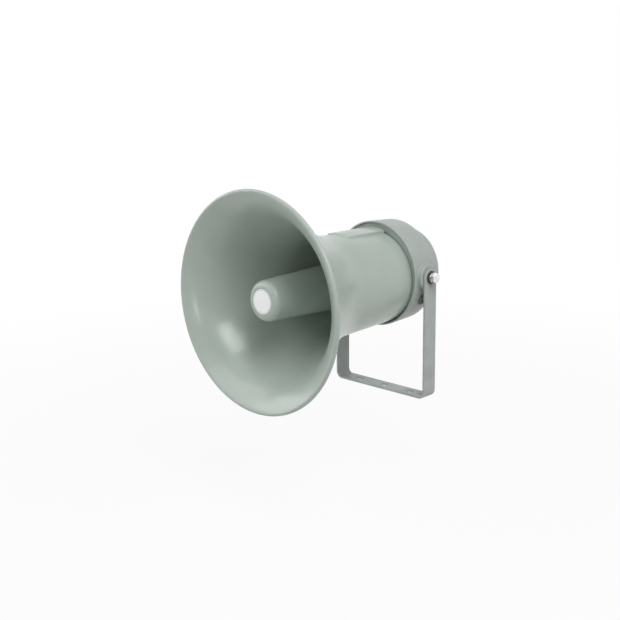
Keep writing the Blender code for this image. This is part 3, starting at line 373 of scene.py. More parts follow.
def cut(item: bpy.types.Object, cutter: Shell, finish: "Finish | None" = None) -> None:
    """Takes a shell out of an object for good.

    Args:
        item: the object that loses material.
        cutter: closed shells that don't touch each other.
        finish: what the new walls are made of, where that differs from the rest.
    """
    tool = cutter.make(item.name + "_cutter", finish)
    step = item.modifiers.new("holes", "BOOLEAN")
    step.operation, step.solver, step.object = "DIFFERENCE", "EXACT", tool
    result = bpy.data.meshes.new_from_object(item.evaluated_get(bpy.context.evaluated_depsgraph_get()))
    item.modifiers.clear()
    item.data = result
    bpy.data.objects.remove(tool, do_unlink=True)
    result.shade_smooth()
    result.set_sharp_from_angle(angle=math.radians(CREASE))


def settle(item: bpy.types.Object, body: Body, slot: str, *nodes: str) -> None:
    """Gives a piece its body and hides the model's nodes that it stands for.

    Args:
        item: the finished piece.
        body: the body that it rides on.
        slot: the record's material slot; not used.
        nodes: the nodes that it replaces.
    """
    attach(item, body.value)
    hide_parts(*nodes)
    LOG.info("%s: %d faces on %s", item.name, len(item.data.polygons), body.value)


# Finishes


@dataclass(frozen=True)
class Finish:
    """A surface in two close colours, clouded into each other, under layers of soft relief.

    The layers are pairs of grain size and height in millimetres. The clouding runs from all colour
    to all shade between the two noise values of patch_range.
    """

    name: str
    colour: str
    shade: str
    roughness: float
    metallic: float = 0.0
    ior: float = 1.5
    patch_mm: float = 6.0
    patch_range: tuple[float, float] = (0.3, 0.75)
    layers: tuple[tuple[float, float], ...] = ()

    def material(self) -> bpy.types.Material:
        """Finds the finish's material, or makes it the first time.

        Returns:
            The material.
        """
        known = bpy.data.materials.get(self.name)
        if known:
            return known
        material = bpy.data.materials.new(self.name)
        material.use_nodes = True
        tree = material.node_tree
        shader = tree.nodes["Principled BSDF"]
        shader.inputs["Base Color"].default_value = linear(self.colour)
        shader.inputs["Roughness"].default_value = self.roughness
        shader.inputs["Metallic"].default_value = self.metallic
        if not self.metallic:
            shader.inputs["IOR"].default_value = self.ior
        self.dress(tree)
        return material

    def dress(self, tree: Tree) -> None:
        """Clouds the colour and raises the relief."""
        self.mottle(tree)
        self.relief(tree)

    def blend(self, tree: Tree, share: Node) -> None:
        """Mixes the shade into the colour.

        Args:
            tree: the material's node tree.
            share: the node whose Result is 0 for the colour and 1 for the shade.
        """
        mix = add(
            tree, "Mix", {"0": share.outputs["Result"], "6": linear(self.colour), "7": linear(self.shade)},
            data_type="RGBA",
        )
        feed(tree, "Base Color", mix.outputs[2])

    def mottle(self, tree: Tree) -> None:
        """Mixes the shade into the colour through soft noise.

        Args:
            tree: the material's node tree.
        """
        low, high = self.patch_range
        noise = add(
            tree, "TexNoise",
            {"Vector": add(tree, "TexCoord").outputs["Object"], "Scale": 1000 / self.patch_mm,
             "Detail": 3.0, "Roughness": 0.55},
        )
        links = {"Value": noise.outputs["Fac"], "From Min": low, "From Max": high}
        self.blend(tree, add(tree, "MapRange", links))

    def relief(self, tree: Tree) -> None:
        """Raises soft noise as bump, layer over layer.

        Args:
            tree: the material's node tree.
        """
        normal = None
        for size_mm, height_mm in self.layers:
            where = add(tree, "TexCoord").outputs["Object"]
            noise = add(tree, "TexNoise", {"Vector": where, "Scale": 1000 / size_mm, "Detail": 2.0})
            links = {"Height": noise.outputs["Fac"], "Distance": height_mm * MM, "Strength": 1.0}
            if normal:
                links["Normal"] = normal
            normal = add(tree, "Bump", links).outputs["Normal"]
            feed(tree, "Normal", normal)


@dataclass(frozen=True)
class MouldedPlastic(Finish):
    """Injection-moulded plastic: satin, with slow waves from cooling and a fine spark-eroded grain.

    The real grain is about 0.4 mm and is drawn at 1.1 mm so that it shows at this size.
    """

    patch_mm: float = 30.0
    patch_range: tuple[float, float] = (0.35, 0.75)
    layers: tuple[tuple[float, float], ...] = ((45.0, 0.35), (1.1, 0.010))
    gloss_scale: float = 60.0
    gloss_spread: float = 0.03

    def dress(self, tree: Tree) -> None:
        """Adds gloss that wanders to both sides of the roughness, in patches of about 17 mm.

        Args:
            tree: the material's node tree.
        """
        super().dress(tree)
        where = add(tree, "TexCoord").outputs["Object"]
        noise = add(tree, "TexNoise", {"Vector": where, "Scale": self.gloss_scale, "Detail": 4.0})
        gloss = add(
            tree, "MapRange",
            {"Value": noise.outputs["Fac"], "From Min": 0.3, "From Max": 0.7,
             "To Min": self.roughness - self.gloss_spread, "To Max": self.roughness + self.gloss_spread},
        )
        feed(tree, "Roughness", gloss.outputs["Result"])


@dataclass(frozen=True)
class PowderCoat(Finish):
    """Powder-coated steel: an even paint with orange peel a millimetre or two across."""

    patch_mm: float = 14.0
    patch_range: tuple[float, float] = (0.4, 0.8)
    layers: tuple[tuple[float, float], ...] = ((1.6, 0.03), (0.5, 0.006))


@dataclass(frozen=True)
class PlatedSteel(Finish):
    """Zinc-plated steel: bright, with cloudy passivation and an uneven face that breaks reflections."""

    patch_mm: float = 4.0
    patch_range: tuple[float, float] = (0.3, 0.8)
    layers: tuple[tuple[float, float], ...] = ((0.7, 0.01),)


@dataclass(frozen=True)
class Rubber(Finish):
    """Moulded EPDM rubber: matt and finely pebbled, with a dusty bloom in patches of 5 mm."""

    patch_mm: float = 5.0
    patch_range: tuple[float, float] = (0.35, 0.8)
    layers: tuple[tuple[float, float], ...] = ((0.8, 0.02),)


@dataclass(frozen=True)
class LabelFilm(Finish):
    """Vinyl film left blank: smooth white, with a faint ring in its shade near the edge."""

    ring_mm: float = 11.2
    ring_width_mm: float = 0.35
    height: float = 0.0

    def dress(self, tree: Tree) -> None:
        """Draws the ring where the distance from the horn's axis is near the ring's radius.

        Args:
            tree: the material's node tree.
        """
        where = add(tree, "TexCoord").outputs["Object"]
        flat = {"Vector": where, "Location": (0.0, 0.0, -self.height), "Scale": (1.0, 0.0, 1.0)}
        centred = add(tree, "Mapping", flat).outputs["Vector"]
        away = add(tree, "VectorMath", {"0": centred}, operation="LENGTH").outputs["Value"]
        off = add(tree, "Math", {"0": away, "1": self.ring_mm * MM}, operation="SUBTRACT").outputs["Value"]
        size = add(tree, "Math", {"0": off}, operation="ABSOLUTE").outputs["Value"]
        width = self.ring_width_mm * MM
        links = {"Value": size, "From Min": width / 2, "From Max": width, "To Min": 1.0, "To Max": 0.0}
        self.blend(tree, add(tree, "MapRange", links))


@dataclass(frozen=True)
class Grooved(Finish):
    """A surface with fine parallel or ringed grooves: turning marks, windings or stacked sheets."""

    pitch_mm: float = 0.4
    groove_mm: float = 0.02
    run: Grooves = Grooves.RINGS_ABOUT_Y
    centre_z: float = 0.0

    def dress(self, tree: Tree) -> None:
        """Adds a sine-wave relief whose period is the pitch; a wave texture's is tau/20 over its scale.

        Args:
            tree: the material's node tree.
        """
        super().dress(tree)
        kind, axis = self.run.value
        where = add(tree, "TexCoord").outputs["Object"]
        centred = add(tree, "Mapping", {"Vector": where, "Location": (0.0, 0.0, -self.centre_z)})
        scale = TAU / 20 / (self.pitch_mm * MM)
        wave = add(
            tree, "TexWave", {"Vector": centred.outputs["Vector"], "Scale": scale, "Distortion": 0.4},
            wave_type=kind, **{f"{kind.lower()}_direction": axis},
        )
        links = {"Height": wave.outputs["Fac"], "Distance": self.groove_mm * MM, "Strength": 1.0}
        feed(tree, "Normal", add(tree, "Bump", links).outputs["Normal"])


# Green-grey ABS of the bell and bullet: glossy enough for a broad highlight with a soft edge
BELL_PLASTIC = MouldedPlastic("moulded_abs_bell", "#ABB6AE", "#A5B0A8", 0.235)
# Greyer ABS of the cover and cap: matter, so that it shades evenly from top to bottom
COVER_PLASTIC = MouldedPlastic("moulded_abs_cover", "#A7AEAA", "#9FA6A2", 0.38)
# Paint of the bracket: close to the plastic, with a duller and slightly pebbled face
BRACKET_PAINT = PowderCoat("powder_coated_steel", "#AAAFAD", "#989E9C", 0.42)
# Walls of the punched holes painted darker than the strap as painted shade, so that the holes read dark from
# afar
HOLE_WALL_SHADE = PowderCoat("punched_steel_edge", "#4E5250", "#363938", 0.55)
# Bolts and screws: the brightest spots, with small sharp glints
BOLT_PLATE = PlatedSteel("zinc_plated_steel", "#EDEEEC", "#D2D3D0", 0.24, 1.0)
# Washers, seal and gasket: nearly black lines between pale parts
RUBBER = Rubber("epdm_rubber", "#2A2E2E", "#3E4343", 0.70)
# The grommet: a mid grey that its open bore darkens
GREY_RUBBER = Rubber("grey_epdm_rubber", "#727A76", "#646C68", 0.66)
AXIS_HEIGHT = (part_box("bell")[0][2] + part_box("bell")[1][2]) / 2
# The model's own inner nodes: dark nylon, ground magnet, yellow plate, copper winding, film and brass
INNER_FINISHES = {
    "throat_horn": BELL_PLASTIC,
    "front_plate": MouldedPlastic("moulded_nylon_plate", "#4C5152", "#43484A", 0.45),
    "phase_plug": MouldedPlastic("moulded_nylon_plug", "#54595A", "#4A4F50", 0.45),
    "terminal_block": MouldedPlastic("moulded_nylon_block", "#3A4546", "#323B3C", 0.40),
    "ring_magnet": Grooved(
        "ground_ferrite", "#3A3B3D", "#2E2F31", 0.62, pitch_mm=1.3, centre_z=AXIS_HEIGHT),
    "top_plate": Grooved("yellow_zinc_plate", "#C8B36A", "#B59C86", 0.32, 1.0, centre_z=AXIS_HEIGHT),
    "back_plate": Grooved("yellow_zinc_pole", "#C8B36A", "#B59C86", 0.32, 1.0, centre_z=AXIS_HEIGHT),
    "voice_coil": Grooved(
        "enamelled_winding", "#B8673A", "#9C5530", 0.30, 1.0, pitch_mm=0.25, groove_mm=0.08,
        run=Grooves.BANDS_ALONG_Y, centre_z=AXIS_HEIGHT),
    "diaphragm": Grooved(
        "pressed_film", "#C99A4E", "#B88942", 0.25, pitch_mm=0.9, groove_mm=0.05, centre_z=AXIS_HEIGHT),
    "transformer_core": Grooved(
        "stacked_laminations", "#8C8F92", "#77716A", 0.45, 1.0, pitch_mm=0.5, groove_mm=0.06,
        run=Grooves.BANDS_ALONG_Z),
    "transformer_coil": Grooved(
        "wound_tape", "#C8A04A", "#B98F3C", 0.35, pitch_mm=3.0, groove_mm=0.05, run=Grooves.BANDS_ALONG_X),
    **{f"{side}_insert": Grooved(
        f"turned_brass_{side}", "#D2B46C", "#BD9C55", 0.28, 1.0, pitch_mm=0.8, groove_mm=0.12,
        run=Grooves.BANDS_ALONG_X) for side in ("right", "left")},
    "horn_gasket": RUBBER,
    "nose_screw": BOLT_PLATE,
    **{f"long_screw_{number}": BOLT_PLATE for number in range(1, 5)},
}


def dress_inner_nodes() -> None:
    """Gives each of the model's own inner nodes its finish in every material slot."""
    for name, finish in INNER_FINISHES.items():
        for slot in bpy.data.objects[name].material_slots:
            slot.material = finish.material()
    LOG.info("inner nodes: %d dressed", len(INNER_FINISHES))


# Camera, light and ground


@dataclass(frozen=True)
class Lamp:
    """A soft rectangular lamp; its azimuth is measured in degrees from the camera's, to the right."""

    name: str
    azimuth: float
    elevation: float
    size: tuple[float, float]
    power: float
    distance: float = 1.9


LAMPS = (
    Lamp("key", 18.0, 50.0, (0.62, 1.25), 18.4),
    Lamp("top", 0.0, 75.0, (1.2, 1.2), 3.0),
    Lamp("right", 62.0, 37.0, (1.3, 0.8), 10.5),
    Lamp("left", -77.0, 36.0, (1.8, 1.2), 12.0),
    Lamp("left_low", -108.0, 13.0, (1.2, 0.9), 7.0),
    Lamp("strip", -20.0, 2.0, (0.16, 0.42), 1.9),
    Lamp("rear", 180.0, 40.0, (1.4, 1.2), 0.8),
)


@dataclass(frozen=True)
class Studio:
    """The camera of the photograph, soft studio lamps, a pale floor and a white surround."""

    eye: Point = (0.7509, -0.8075, 0.3600)
    look: Point = (-0.6636, 0.7289, -0.1684)
    lens_mm: float = 63.30
    sensor_mm: float = 36.0
    shift: tuple[float, float] = (-0.0606, -0.1100)
    sight: tuple[float, float] = (0.01, 50.0)
    middle: float = 0.12
    ambient: float = 0.08
    white: str = "#FFFFFF"
    floor_colour: str = "#DADAD8"
    floor_roughness: float = 0.8
    floor_half: float = 6.0
    floor_drop: float = 97.0 * MM
    shadow_share: float = 0.08
    shadow_reach: tuple[float, float] = (0.35, 1.1)

    def camera(self) -> None:
        """Makes the camera at the photograph's place, looking the photograph's way."""
        data = bpy.data.cameras.new("camera")
        data.sensor_width, data.lens = self.sensor_mm, self.lens_mm
        data.shift_x, data.shift_y = self.shift
        data.clip_start, data.clip_end = self.sight
        item = bpy.data.objects.new("camera", data)
        item.location = self.eye
        item.rotation_euler = Vector(self.look).to_track_quat("-Z", "Y").to_euler()
        bpy.context.scene.collection.objects.link(item)
        bpy.context.scene.camera = item

    def hang(self, lamp: Lamp) -> None:
        """Hangs one soft lamp at its distance from the object's middle, facing it.

        Args:
            lamp: the lamp's name, place, size and power.
        """
        turn = math.atan2(self.eye[1], self.eye[0]) + math.radians(lamp.azimuth)
        tilt = math.radians(lamp.elevation)
        away = Vector((math.cos(turn) * math.cos(tilt), math.sin(turn) * math.cos(tilt), math.sin(tilt)))
        data = bpy.data.lights.new(lamp.name, "AREA")
        data.shape, data.energy = "RECTANGLE", lamp.power
        data.size, data.size_y = lamp.size
        item = bpy.data.objects.new(lamp.name, data)
        item.location = Vector((0.0, 0.0, self.middle)) + away * lamp.distance
        item.rotation_euler = (-away).to_track_quat("-Z", "Y").to_euler()
        bpy.context.scene.collection.objects.link(item)

    @staticmethod
    def looking_rays(tree: Tree) -> bpy.types.NodeSocket:
        """Adds the nodes that are 1 for the rays that look at the background, not for those that light.

        Args:
            tree: the world's or the floor's node tree.

        Returns:
            The greatest of camera ray, transmission ray and glossy ray.
        """
        path = add(tree, "LightPath").outputs
        rays = {"0": path["Is Camera Ray"], "1": path["Is Transmission Ray"]}
        direct = add(tree, "Math", rays, operation="MAXIMUM").outputs["Value"]
        rays = {"0": direct, "1": path["Is Glossy Ray"]}
        return add(tree, "Math", rays, operation="MAXIMUM").outputs["Value"]

    def surround(self) -> None:
        """Makes the world a faint even light that the camera and reflections see as white."""
        world = bpy.data.worlds.new("surround")
        bpy.context.scene.world = world
        world.use_nodes = True
        tree = world.node_tree
        tree.nodes.clear()
        soft, full = (
            add(tree, "Background", {"Color": linear(self.white), "Strength": strength}).outputs[0]
            for strength in (self.ambient, 1.0)
        )
        mix = add(tree, "MixShader", {"0": self.looking_rays(tree), "1": soft, "2": full})
        add(tree, "OutputWorld", {"Surface": mix.outputs[0]})

    def floor(self) -> None:
        """Lays a pale floor that the camera sees as white, with a share of its own shading near the object.

        It lies just below the lowest place that the mouth reaches when the horn tilts on its bracket.
        The share falls smoothly to nothing between the two distances of shadow_reach.
        """
        x, y = np.meshgrid(*[np.array([-self.floor_half, self.floor_half])] * 2)
        grid = np.stack([x, y, np.full_like(x, -self.floor_drop)], -1)
        item = Shell().add(grid, loop_rows=False, loop_columns=False).make("floor")
        material = bpy.data.materials.new("pale_floor")
        material.use_nodes = True
        tree = material.node_tree
        shader = tree.nodes["Principled BSDF"]
        shader.inputs["Base Color"].default_value = linear(self.floor_colour)
        shader.inputs["Roughness"].default_value = self.floor_roughness
        where = add(tree, "TexCoord").outputs["Object"]
        away = add(tree, "VectorMath", {"0": where}, operation="LENGTH").outputs["Value"]
        (near, far), least = self.shadow_reach, 1.0 - self.shadow_share
        plain = add(
            tree, "MapRange",
            {"Value": away, "From Min": near, "From Max": far, "To Min": least, "To Max": 1.0},
            interpolation_type="SMOOTHSTEP",
        )
        links = {"0": self.looking_rays(tree), "1": plain.outputs["Result"]}
        share = add(tree, "Math", links, operation="MULTIPLY").outputs["Value"]
        glow = add(tree, "Emission", {"Color": linear(self.white), "Strength": 1.0}).outputs["Emission"]
        mix = add(tree, "MixShader", {"0": share, "1": shader.outputs["BSDF"], "2": glow})
        tree.links.new(mix.outputs[0], tree.nodes["Material Output"].inputs["Surface"])
        item.data.materials.append(material)

    def build(self) -> None:
        """Sets up the whole studio."""
        bpy.context.scene.view_settings.view_transform = "Standard"
        self.camera()
        for lamp in LAMPS:
            self.hang(lamp)
        self.surround()
        self.floor()
        LOG.info("studio: %d lamps", len(LAMPS))


# The speaker's own places


@dataclass(frozen=True)
class Layout:
    """Where the horn's axis and the bolts' axis lie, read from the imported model."""

    pivot: Point
    rim_y: float
    axis_z: float
    cover_z: float
    lip_r: float
    leg_x: float

    @staticmethod
    def read(bead_radius: float) -> "Layout":
        """Reads the places from the tilt joint and from the nodes' boxes.

        Args:
            bead_radius: the rim bead's radius, which is how far the bell reaches ahead of station 0.

        Returns:
            The layout.
        """
        tilt = next(joint for joint in frame["joints"] if joint["name"] == "tilt")
        low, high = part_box("bell")
        cover_low, cover_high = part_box("rear_cover")
        cover_z = (cover_low[2] + cover_high[2]) / 2
        return Layout(
            tuple(tilt["pos_m"]), low[1] + bead_radius, (low[2] + high[2]) / 2, cover_z,
            cover_high[2] - cover_z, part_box("bracket")[1][0],
        )

    def horn(self) -> Spindle:
        """Returns the horn's axis with station 0 at the rim."""
        return Spindle((0.0, self.rim_y, self.axis_z))

    def cover(self) -> Spindle:
        """Returns the cover's axis, a little above the horn's."""
        return Spindle((0.0, self.rim_y, self.cover_z))

    def bolt(self, side: Side) -> Spindle:
        """Returns the bolts' axis, running outwards on one side; angle 0 points rearward."""
        return Spindle(self.pivot, (float(side.value), 0.0, 0.0), (0.0, 1.0, 0.0))

    def pivot_station(self) -> float:
        """Returns the pivot's station on the horn's axis."""
        return self.pivot[1] - self.rim_y


# Sub-assemblies


@dataclass
class Bell:
    """The flared bell with its rolled rim, round body, raised top pad and bulkhead."""

    layout: Layout
    mouth_r: float = 110.0 * MM
    bead_r: float = 2.2 * MM
    wall: float = 2.4 * MM
    lip_r: float = 92.0 * MM
    lip_depth: float = 9.5 * MM
    lip_angle: float = math.radians(30.0)
    lip_end_angle: float = math.radians(64.0)
    lip_start_r: float = 86.5 * MM
    lip_bend: float = 11.0 * MM
    lip_reach: float = 9.5 * MM
    point_spacing: float = 1.2 * MM
    fair_passes: int = 70
    flare_depth: float = 98.0 * MM
    flare_pulls: tuple[float, float] = (0.18, 0.45)
    body_r: float = 53.0 * MM
    body_length: float = 85.0 * MM
    draft: float = math.radians(2.2)
    pad_half_angle: float = math.radians(17.0)
    pad_height: float = 1.7 * MM
    pad_start: float = 116.0 * MM
    pad_end: float = 173.7 * MM
    pad_edge: float = 1.3 * MM
    pad_margin: float = 0.2 * MM
    pad_rows: int = 10
    pad_columns: int = 15
    pad_columns_mm: tuple[float, float] = (-2.2, 0.6)
    body_rows: int = 26
    columns: int = 180
    bulkhead_front: float = 162.0 * MM
    bulkhead_t: float = 3.0 * MM
    bulkhead_root: float = 1.2 * MM
    rear_root: float = 1.0 * MM
    edge_round: float = 0.4 * MM
    rear_edge: float = 3.0 * MM
    inner_end: float = 1.5 * MM
    bore_r: float = 29.5 * MM
    screw_circle_r: float = 34.0 * MM
    boss_r: float = 3.8 * MM
    boss_depth: float = 7.0 * MM
    boss_round: float = 0.8 * MM
    boss_spread: float = 0.3 * MM

    def body_radius(self, station: np.ndarray | float) -> np.ndarray | float:
        """Returns the body's outer radius: it shrinks rearward by the draft's tangent."""
        return self.body_r - (station - self.flare_depth) * math.tan(self.draft)

    def body(self) -> np.ndarray:
        """Works out the straight body's line, closer together at the pad's two ends.

        Returns:
            Stations and radii, from the rear edge to just ahead of the pad.
        """
        before, after = -self.pad_margin, self.pad_edge + self.pad_margin
        edges = [np.linspace(place + before, place + after, self.pad_rows)
                 for place in (self.pad_start, self.pad_end - self.pad_edge)]
        even = np.linspace(self.pad_start - OVER, self.flare_depth + self.body_length, self.body_rows)
        rows = np.unique(np.concatenate([even, *edges]))[::-1]
        return np.stack([rows, self.body_radius(rows)], 1)

    def flare(self) -> np.ndarray:
        """Works out the flare's line: a cubic from the body's end to the lip, kept up to lip_start_r.

        Returns:
            Stations and radii, from the rear forward.
        """
        reach, slope = self.flare_depth - self.lip_depth, self.lip_angle
        rear, front = (pull * reach for pull in self.flare_pulls)
        line = bezier(
            [(self.flare_depth, self.body_r),
             (self.flare_depth - rear, self.body_r + rear * math.tan(self.draft)),
             (self.lip_depth + front * math.cos(slope), self.lip_r - front * math.sin(slope)),
             (self.lip_depth, self.lip_r)], steps=56)
        return line[line[:, 1] < self.lip_start_r]

    def outer(self) -> np.ndarray:
        """Works out the outer line: body, flare, and a cubic lip that rolls out to the bead, evened out.

        Returns:
            Stations and radii, from the body's rear edge to the rim.
        """
        body, flare, meet, steep = self.body(), self.flare(), self.bead_meet(), self.lip_end_angle
        start, before = flare[-1], flare[-3]
        slope = math.atan2(start[1] - before[1], before[0] - start[0])
        rim = (self.bead_r * math.cos(meet), self.mouth_r - self.bead_r + self.bead_r * math.sin(meet))
        lip = bezier(
            [tuple(start),
             (start[0] - self.lip_bend * math.cos(slope), start[1] + self.lip_bend * math.sin(slope)),
             (rim[0] + self.lip_reach * math.cos(steep), rim[1] - self.lip_reach * math.sin(steep)),
             rim], steps=26)
        bend = fair(np.concatenate([body[-1:], flare, lip[1:]]), self.point_spacing, self.fair_passes)
        return np.concatenate([body, bend[1:]])

    def bead_meet(self) -> float:
        """Returns the angle round the bead where the lip's rear side meets it, with the front sides flush."""
        return math.asin((self.wall - self.bead_r) / self.bead_r) - self.lip_end_angle

    def outline(self) -> tuple[np.ndarray, int]:
        """Closes the outer line with the bead, an inner line a wall's thickness inside it, and the bulkhead.

        Returns:
            The outline's points, and how many of the first ones are the outer line.
        """
        outer, front, rear = self.outer(), self.bulkhead_front, self.bulkhead_front + self.bulkhead_t
        end = outer[0, 0]
        inner = inset(outer, self.wall)[::-1]
        inner = inner[inner[:, 0] < front - self.inner_end]
        tail = rounded([
            (inner[-1, 0], inner[-1, 1], 0.0),
            (front, self.body_radius(front) - self.wall, self.bulkhead_root),
            (front, self.bore_r, self.edge_round), (rear, self.bore_r, self.edge_round),
            (rear, self.body_radius(rear) - self.wall, self.rear_root),
            (end, self.body_radius(end) - self.wall, self.edge_round),
            (end, self.body_radius(end), self.edge_round),
            (end - self.rear_edge, self.body_radius(end - self.rear_edge), 0.0),
        ])[1:-1]
        bead = arc((0.0, self.mouth_r - self.bead_r), self.bead_r, self.bead_meet(),
                   1.5 * math.pi - self.lip_end_angle, steps=26)
        keep = outer[outer[:, 0] < end - self.rear_edge]
        return np.concatenate([keep, bead[1:], inner, tail]), len(keep)

    def angles(self) -> np.ndarray:
        """Spaces the turns about the axis, closer together at the pad's two long edges.

        Returns:
            The turns, in order.
        """
        near = np.linspace(*self.pad_columns_mm, self.pad_columns) * MM / self.body_r
        edges = [RIGHT_ANGLE + sign * (self.pad_half_angle + near) for sign in (1, -1)]
        even = np.arange(self.columns) * TAU / self.columns
        return np.unique(np.round(np.concatenate([even, *edges]), decimals=7))

    def pad(self, stations: np.ndarray, angles: np.ndarray) -> np.ndarray:
        """Works out how far the top pad stands up at each place.

        The pad's top is level, so it stands pad_height plus what the body has shrunk since the pad's
        front. That is multiplied by three smooth steps: behind the pad's front edge, ahead of its rear
        edge, and inside its half angle, each pad_edge wide.

        Args:
            stations: one a row.
            angles: one a column.

        Returns:
            The heights, rows by columns.
        """
        front = smooth((stations - self.pad_start) / self.pad_edge)
        rear = smooth((self.pad_end - stations) / self.pad_edge)
        across = (self.pad_half_angle - np.abs(angles - RIGHT_ANGLE)) * self.body_r
        stand = self.pad_height + (stations - self.pad_start) * math.tan(self.draft)
        return stand * front * rear * smooth(across / self.pad_edge)

    def build(self) -> None:
        """Makes the bell and its four screw bosses."""
        outline, outer_count = self.outline()
        stations, radii = outline[:, :1], outline[:, 1:]
        angles = self.angles()[None, :]
        lift = self.pad(stations, angles)
        lift[outer_count:] = 0.0
        shell = Shell().add(self.layout.horn().grid(stations, radii + lift, angles))
        front, root = self.bulkhead_front - self.boss_depth, self.bulkhead_front + OVER
        boss = rounded([(front, 0.0, 0.0), (front, self.boss_r, self.boss_round),
                        (root, self.boss_r + self.boss_spread, 0.0), (root, 0.0, 0.0)])
        turns = math.pi / 4 + np.arange(4) * RIGHT_ANGLE
        for place in self.layout.horn().around(self.screw_circle_r, turns):
            shell.add(place.turn(boss, count=28))
        settle(shell.make("bell_shell", BELL_PLASTIC), Body.HORN, "horn_plastic", "bell")


@dataclass
class Reflector:
    """The bullet-shaped reflector with a seat for the disc, and the bare disc on its nose."""

    layout: Layout
    nose_depth: float = 8.9 * MM
    nose_r: float = 20.3 * MM
    corner_r: float = 6.7 * MM
    wall: float = 1.8 * MM
    end: float = 150.0 * MM
    tail_r: float = 28.4 * MM
    tail_angle: float = math.radians(8.5)
    taper: float = math.radians(2.0)
    pulls: tuple[float, float] = (0.26, 0.45)
    disc_r: float = 12.4 * MM
    disc_t: float = 0.9 * MM
    sink_r: float = 3.1 * MM
    sink_depth: float = 1.65 * MM
    hole_r: float = 1.7 * MM
    boss_end: float = 23.6 * MM
    boss_r: float = 3.4 * MM
    floor_r: float = 11.0 * MM
    inner_turn: float = math.pi * 0.9

    def outer(self) -> np.ndarray:
        """Works out the outer line: one cubic from the open rear to the nose's corner.

        Returns:
            Stations and radii.
        """
        corner = (self.nose_depth + self.corner_r, self.nose_r)
        tail, front = (pull * (self.end - corner[0]) for pull in self.pulls)
        return bezier(
            [(self.end, self.tail_r), (self.end - tail, self.tail_r - tail * math.tan(self.tail_angle)),
             (corner[0] + front, corner[1] + front * math.tan(self.taper)), corner], steps=60)

    def build(self) -> None:
        """Makes the reflector and its disc."""
        outer = self.outer()
        centre = (self.nose_depth + self.corner_r, self.nose_r - self.corner_r)
        nose = arc(centre, self.corner_r, RIGHT_ANGLE, math.pi, steps=16)
        inner_nose = arc(centre, self.corner_r - self.wall, self.inner_turn, RIGHT_ANGLE, steps=8)
        seat = self.nose_depth + self.disc_t + GAP
        floor = seat + self.wall
        front = rounded([
            (self.nose_depth, self.nose_r - self.corner_r, 0.0),
            (self.nose_depth, self.disc_r + GAP, 0.25 * MM), (seat, self.disc_r + GAP, 0.1 * MM),
            (seat, self.sink_r, 0.1 * MM), (seat + self.sink_depth, self.hole_r, 0.0),
            (self.boss_end, self.hole_r, 0.2 * MM), (self.boss_end, self.boss_r, 0.5 * MM),
            (floor, self.boss_r, 0.8 * MM), (floor, self.floor_r, 0.0),
        ])[1:-1]
        inner = inset(outer, self.wall)
        inner[0, 0] = self.end
        outline = np.concatenate([outer, nose[1:], front, inner_nose, inner[::-1][1:]])
        shell = Shell().add(self.layout.horn().turn(outline, count=120))
        settle(shell.make("reflector_shell", BELL_PLASTIC), Body.HORN, "horn_plastic", "reflector")
        disc = ring(self.nose_depth, self.nose_depth + self.disc_t, 0.0, self.disc_r, (0.0, 0.2, 0.0, 0.0))
        # White vinyl left bare: the lightest even patch, smoother than the plastic round it
        film = LabelFilm("white_vinyl_film", "#F7F8F9", "#C9CED2", 0.28, height=self.layout.axis_z)
        shell = Shell().add(self.layout.horn().turn(disc, count=96))
        settle(shell.make("nose_disc", film), Body.HORN, "label_white", "label_disc")


@dataclass
class CapScrew:
    """A countersunk screw with a cross recess, one of those that hold the end cap."""

    line: Spindle
    number: int
    face: float
    sunk: float = 0.15 * MM
    length: float = 11.0 * MM
    point: float = 1.0 * MM
    shank_r: float = 1.4 * MM
    head_r: float = 2.8 * MM
    head_t: float = 1.5 * MM
    head_edge: tuple[float, float] = (0.08 * MM, 0.12 * MM)
    cross_half: tuple[float, float] = (0.42 * MM, 1.6 * MM)
    cross_slope: tuple[float, float] = (0.2 * MM, 0.3 * MM)
    cross_depth: float = 1.1 * MM
    first_turn: float = 20.0
    turn_step: float = 50.0
    rings: int = 30
    columns: int = 72

    def grid(self) -> np.ndarray:
        """Works out the screw's surface.

        The head's face is a height field over rings: at (u, v) the recess is as deep as
        cross_depth times smooth steps of (half width - |v|) and (half length - |u|), or the same with
        u and v swapped, whichever is deeper. Each screw's cross is turned by turn_step past the last's.

        Returns:
            The grid, one row for each ring, from the tip to the head's middle.
        """
        turns = np.arange(self.columns) * TAU / self.columns
        top, tip = self.face - self.sunk, self.face - self.length
        edge, chamfer = self.head_edge
        body = np.array([(tip, 0.0), (tip + self.point, self.shank_r), (top - self.head_t, self.shank_r),
                         (top - chamfer, self.head_r)])
        rings = np.linspace(self.head_r - edge, 0.0, self.rings)[:, None]
        angles = turns - math.radians(self.first_turn + self.turn_step * self.number)
        u, v = rings * np.cos(angles), rings * np.sin(angles)
        (width, length), (side, end) = self.cross_half, self.cross_slope
        arms = [smooth((width - np.abs(p)) / side) * smooth((length - np.abs(q)) / end)
                for p, q in ((u, v), (v, u))]
        low = self.line.grid(body[:, :1], body[:, 1:], turns)
        return np.concatenate([low, self.line.grid(top - self.cross_depth * np.maximum(*arms), rings, turns)])

    def build(self) -> None:
        """Makes the screw."""
        item = Shell().add(self.grid(), loop_rows=False).make(f"cap_screw_{self.number}_shell", BOLT_PLATE)
        settle(item, Body.HORN, "zinc", f"cap_screw_{self.number}")


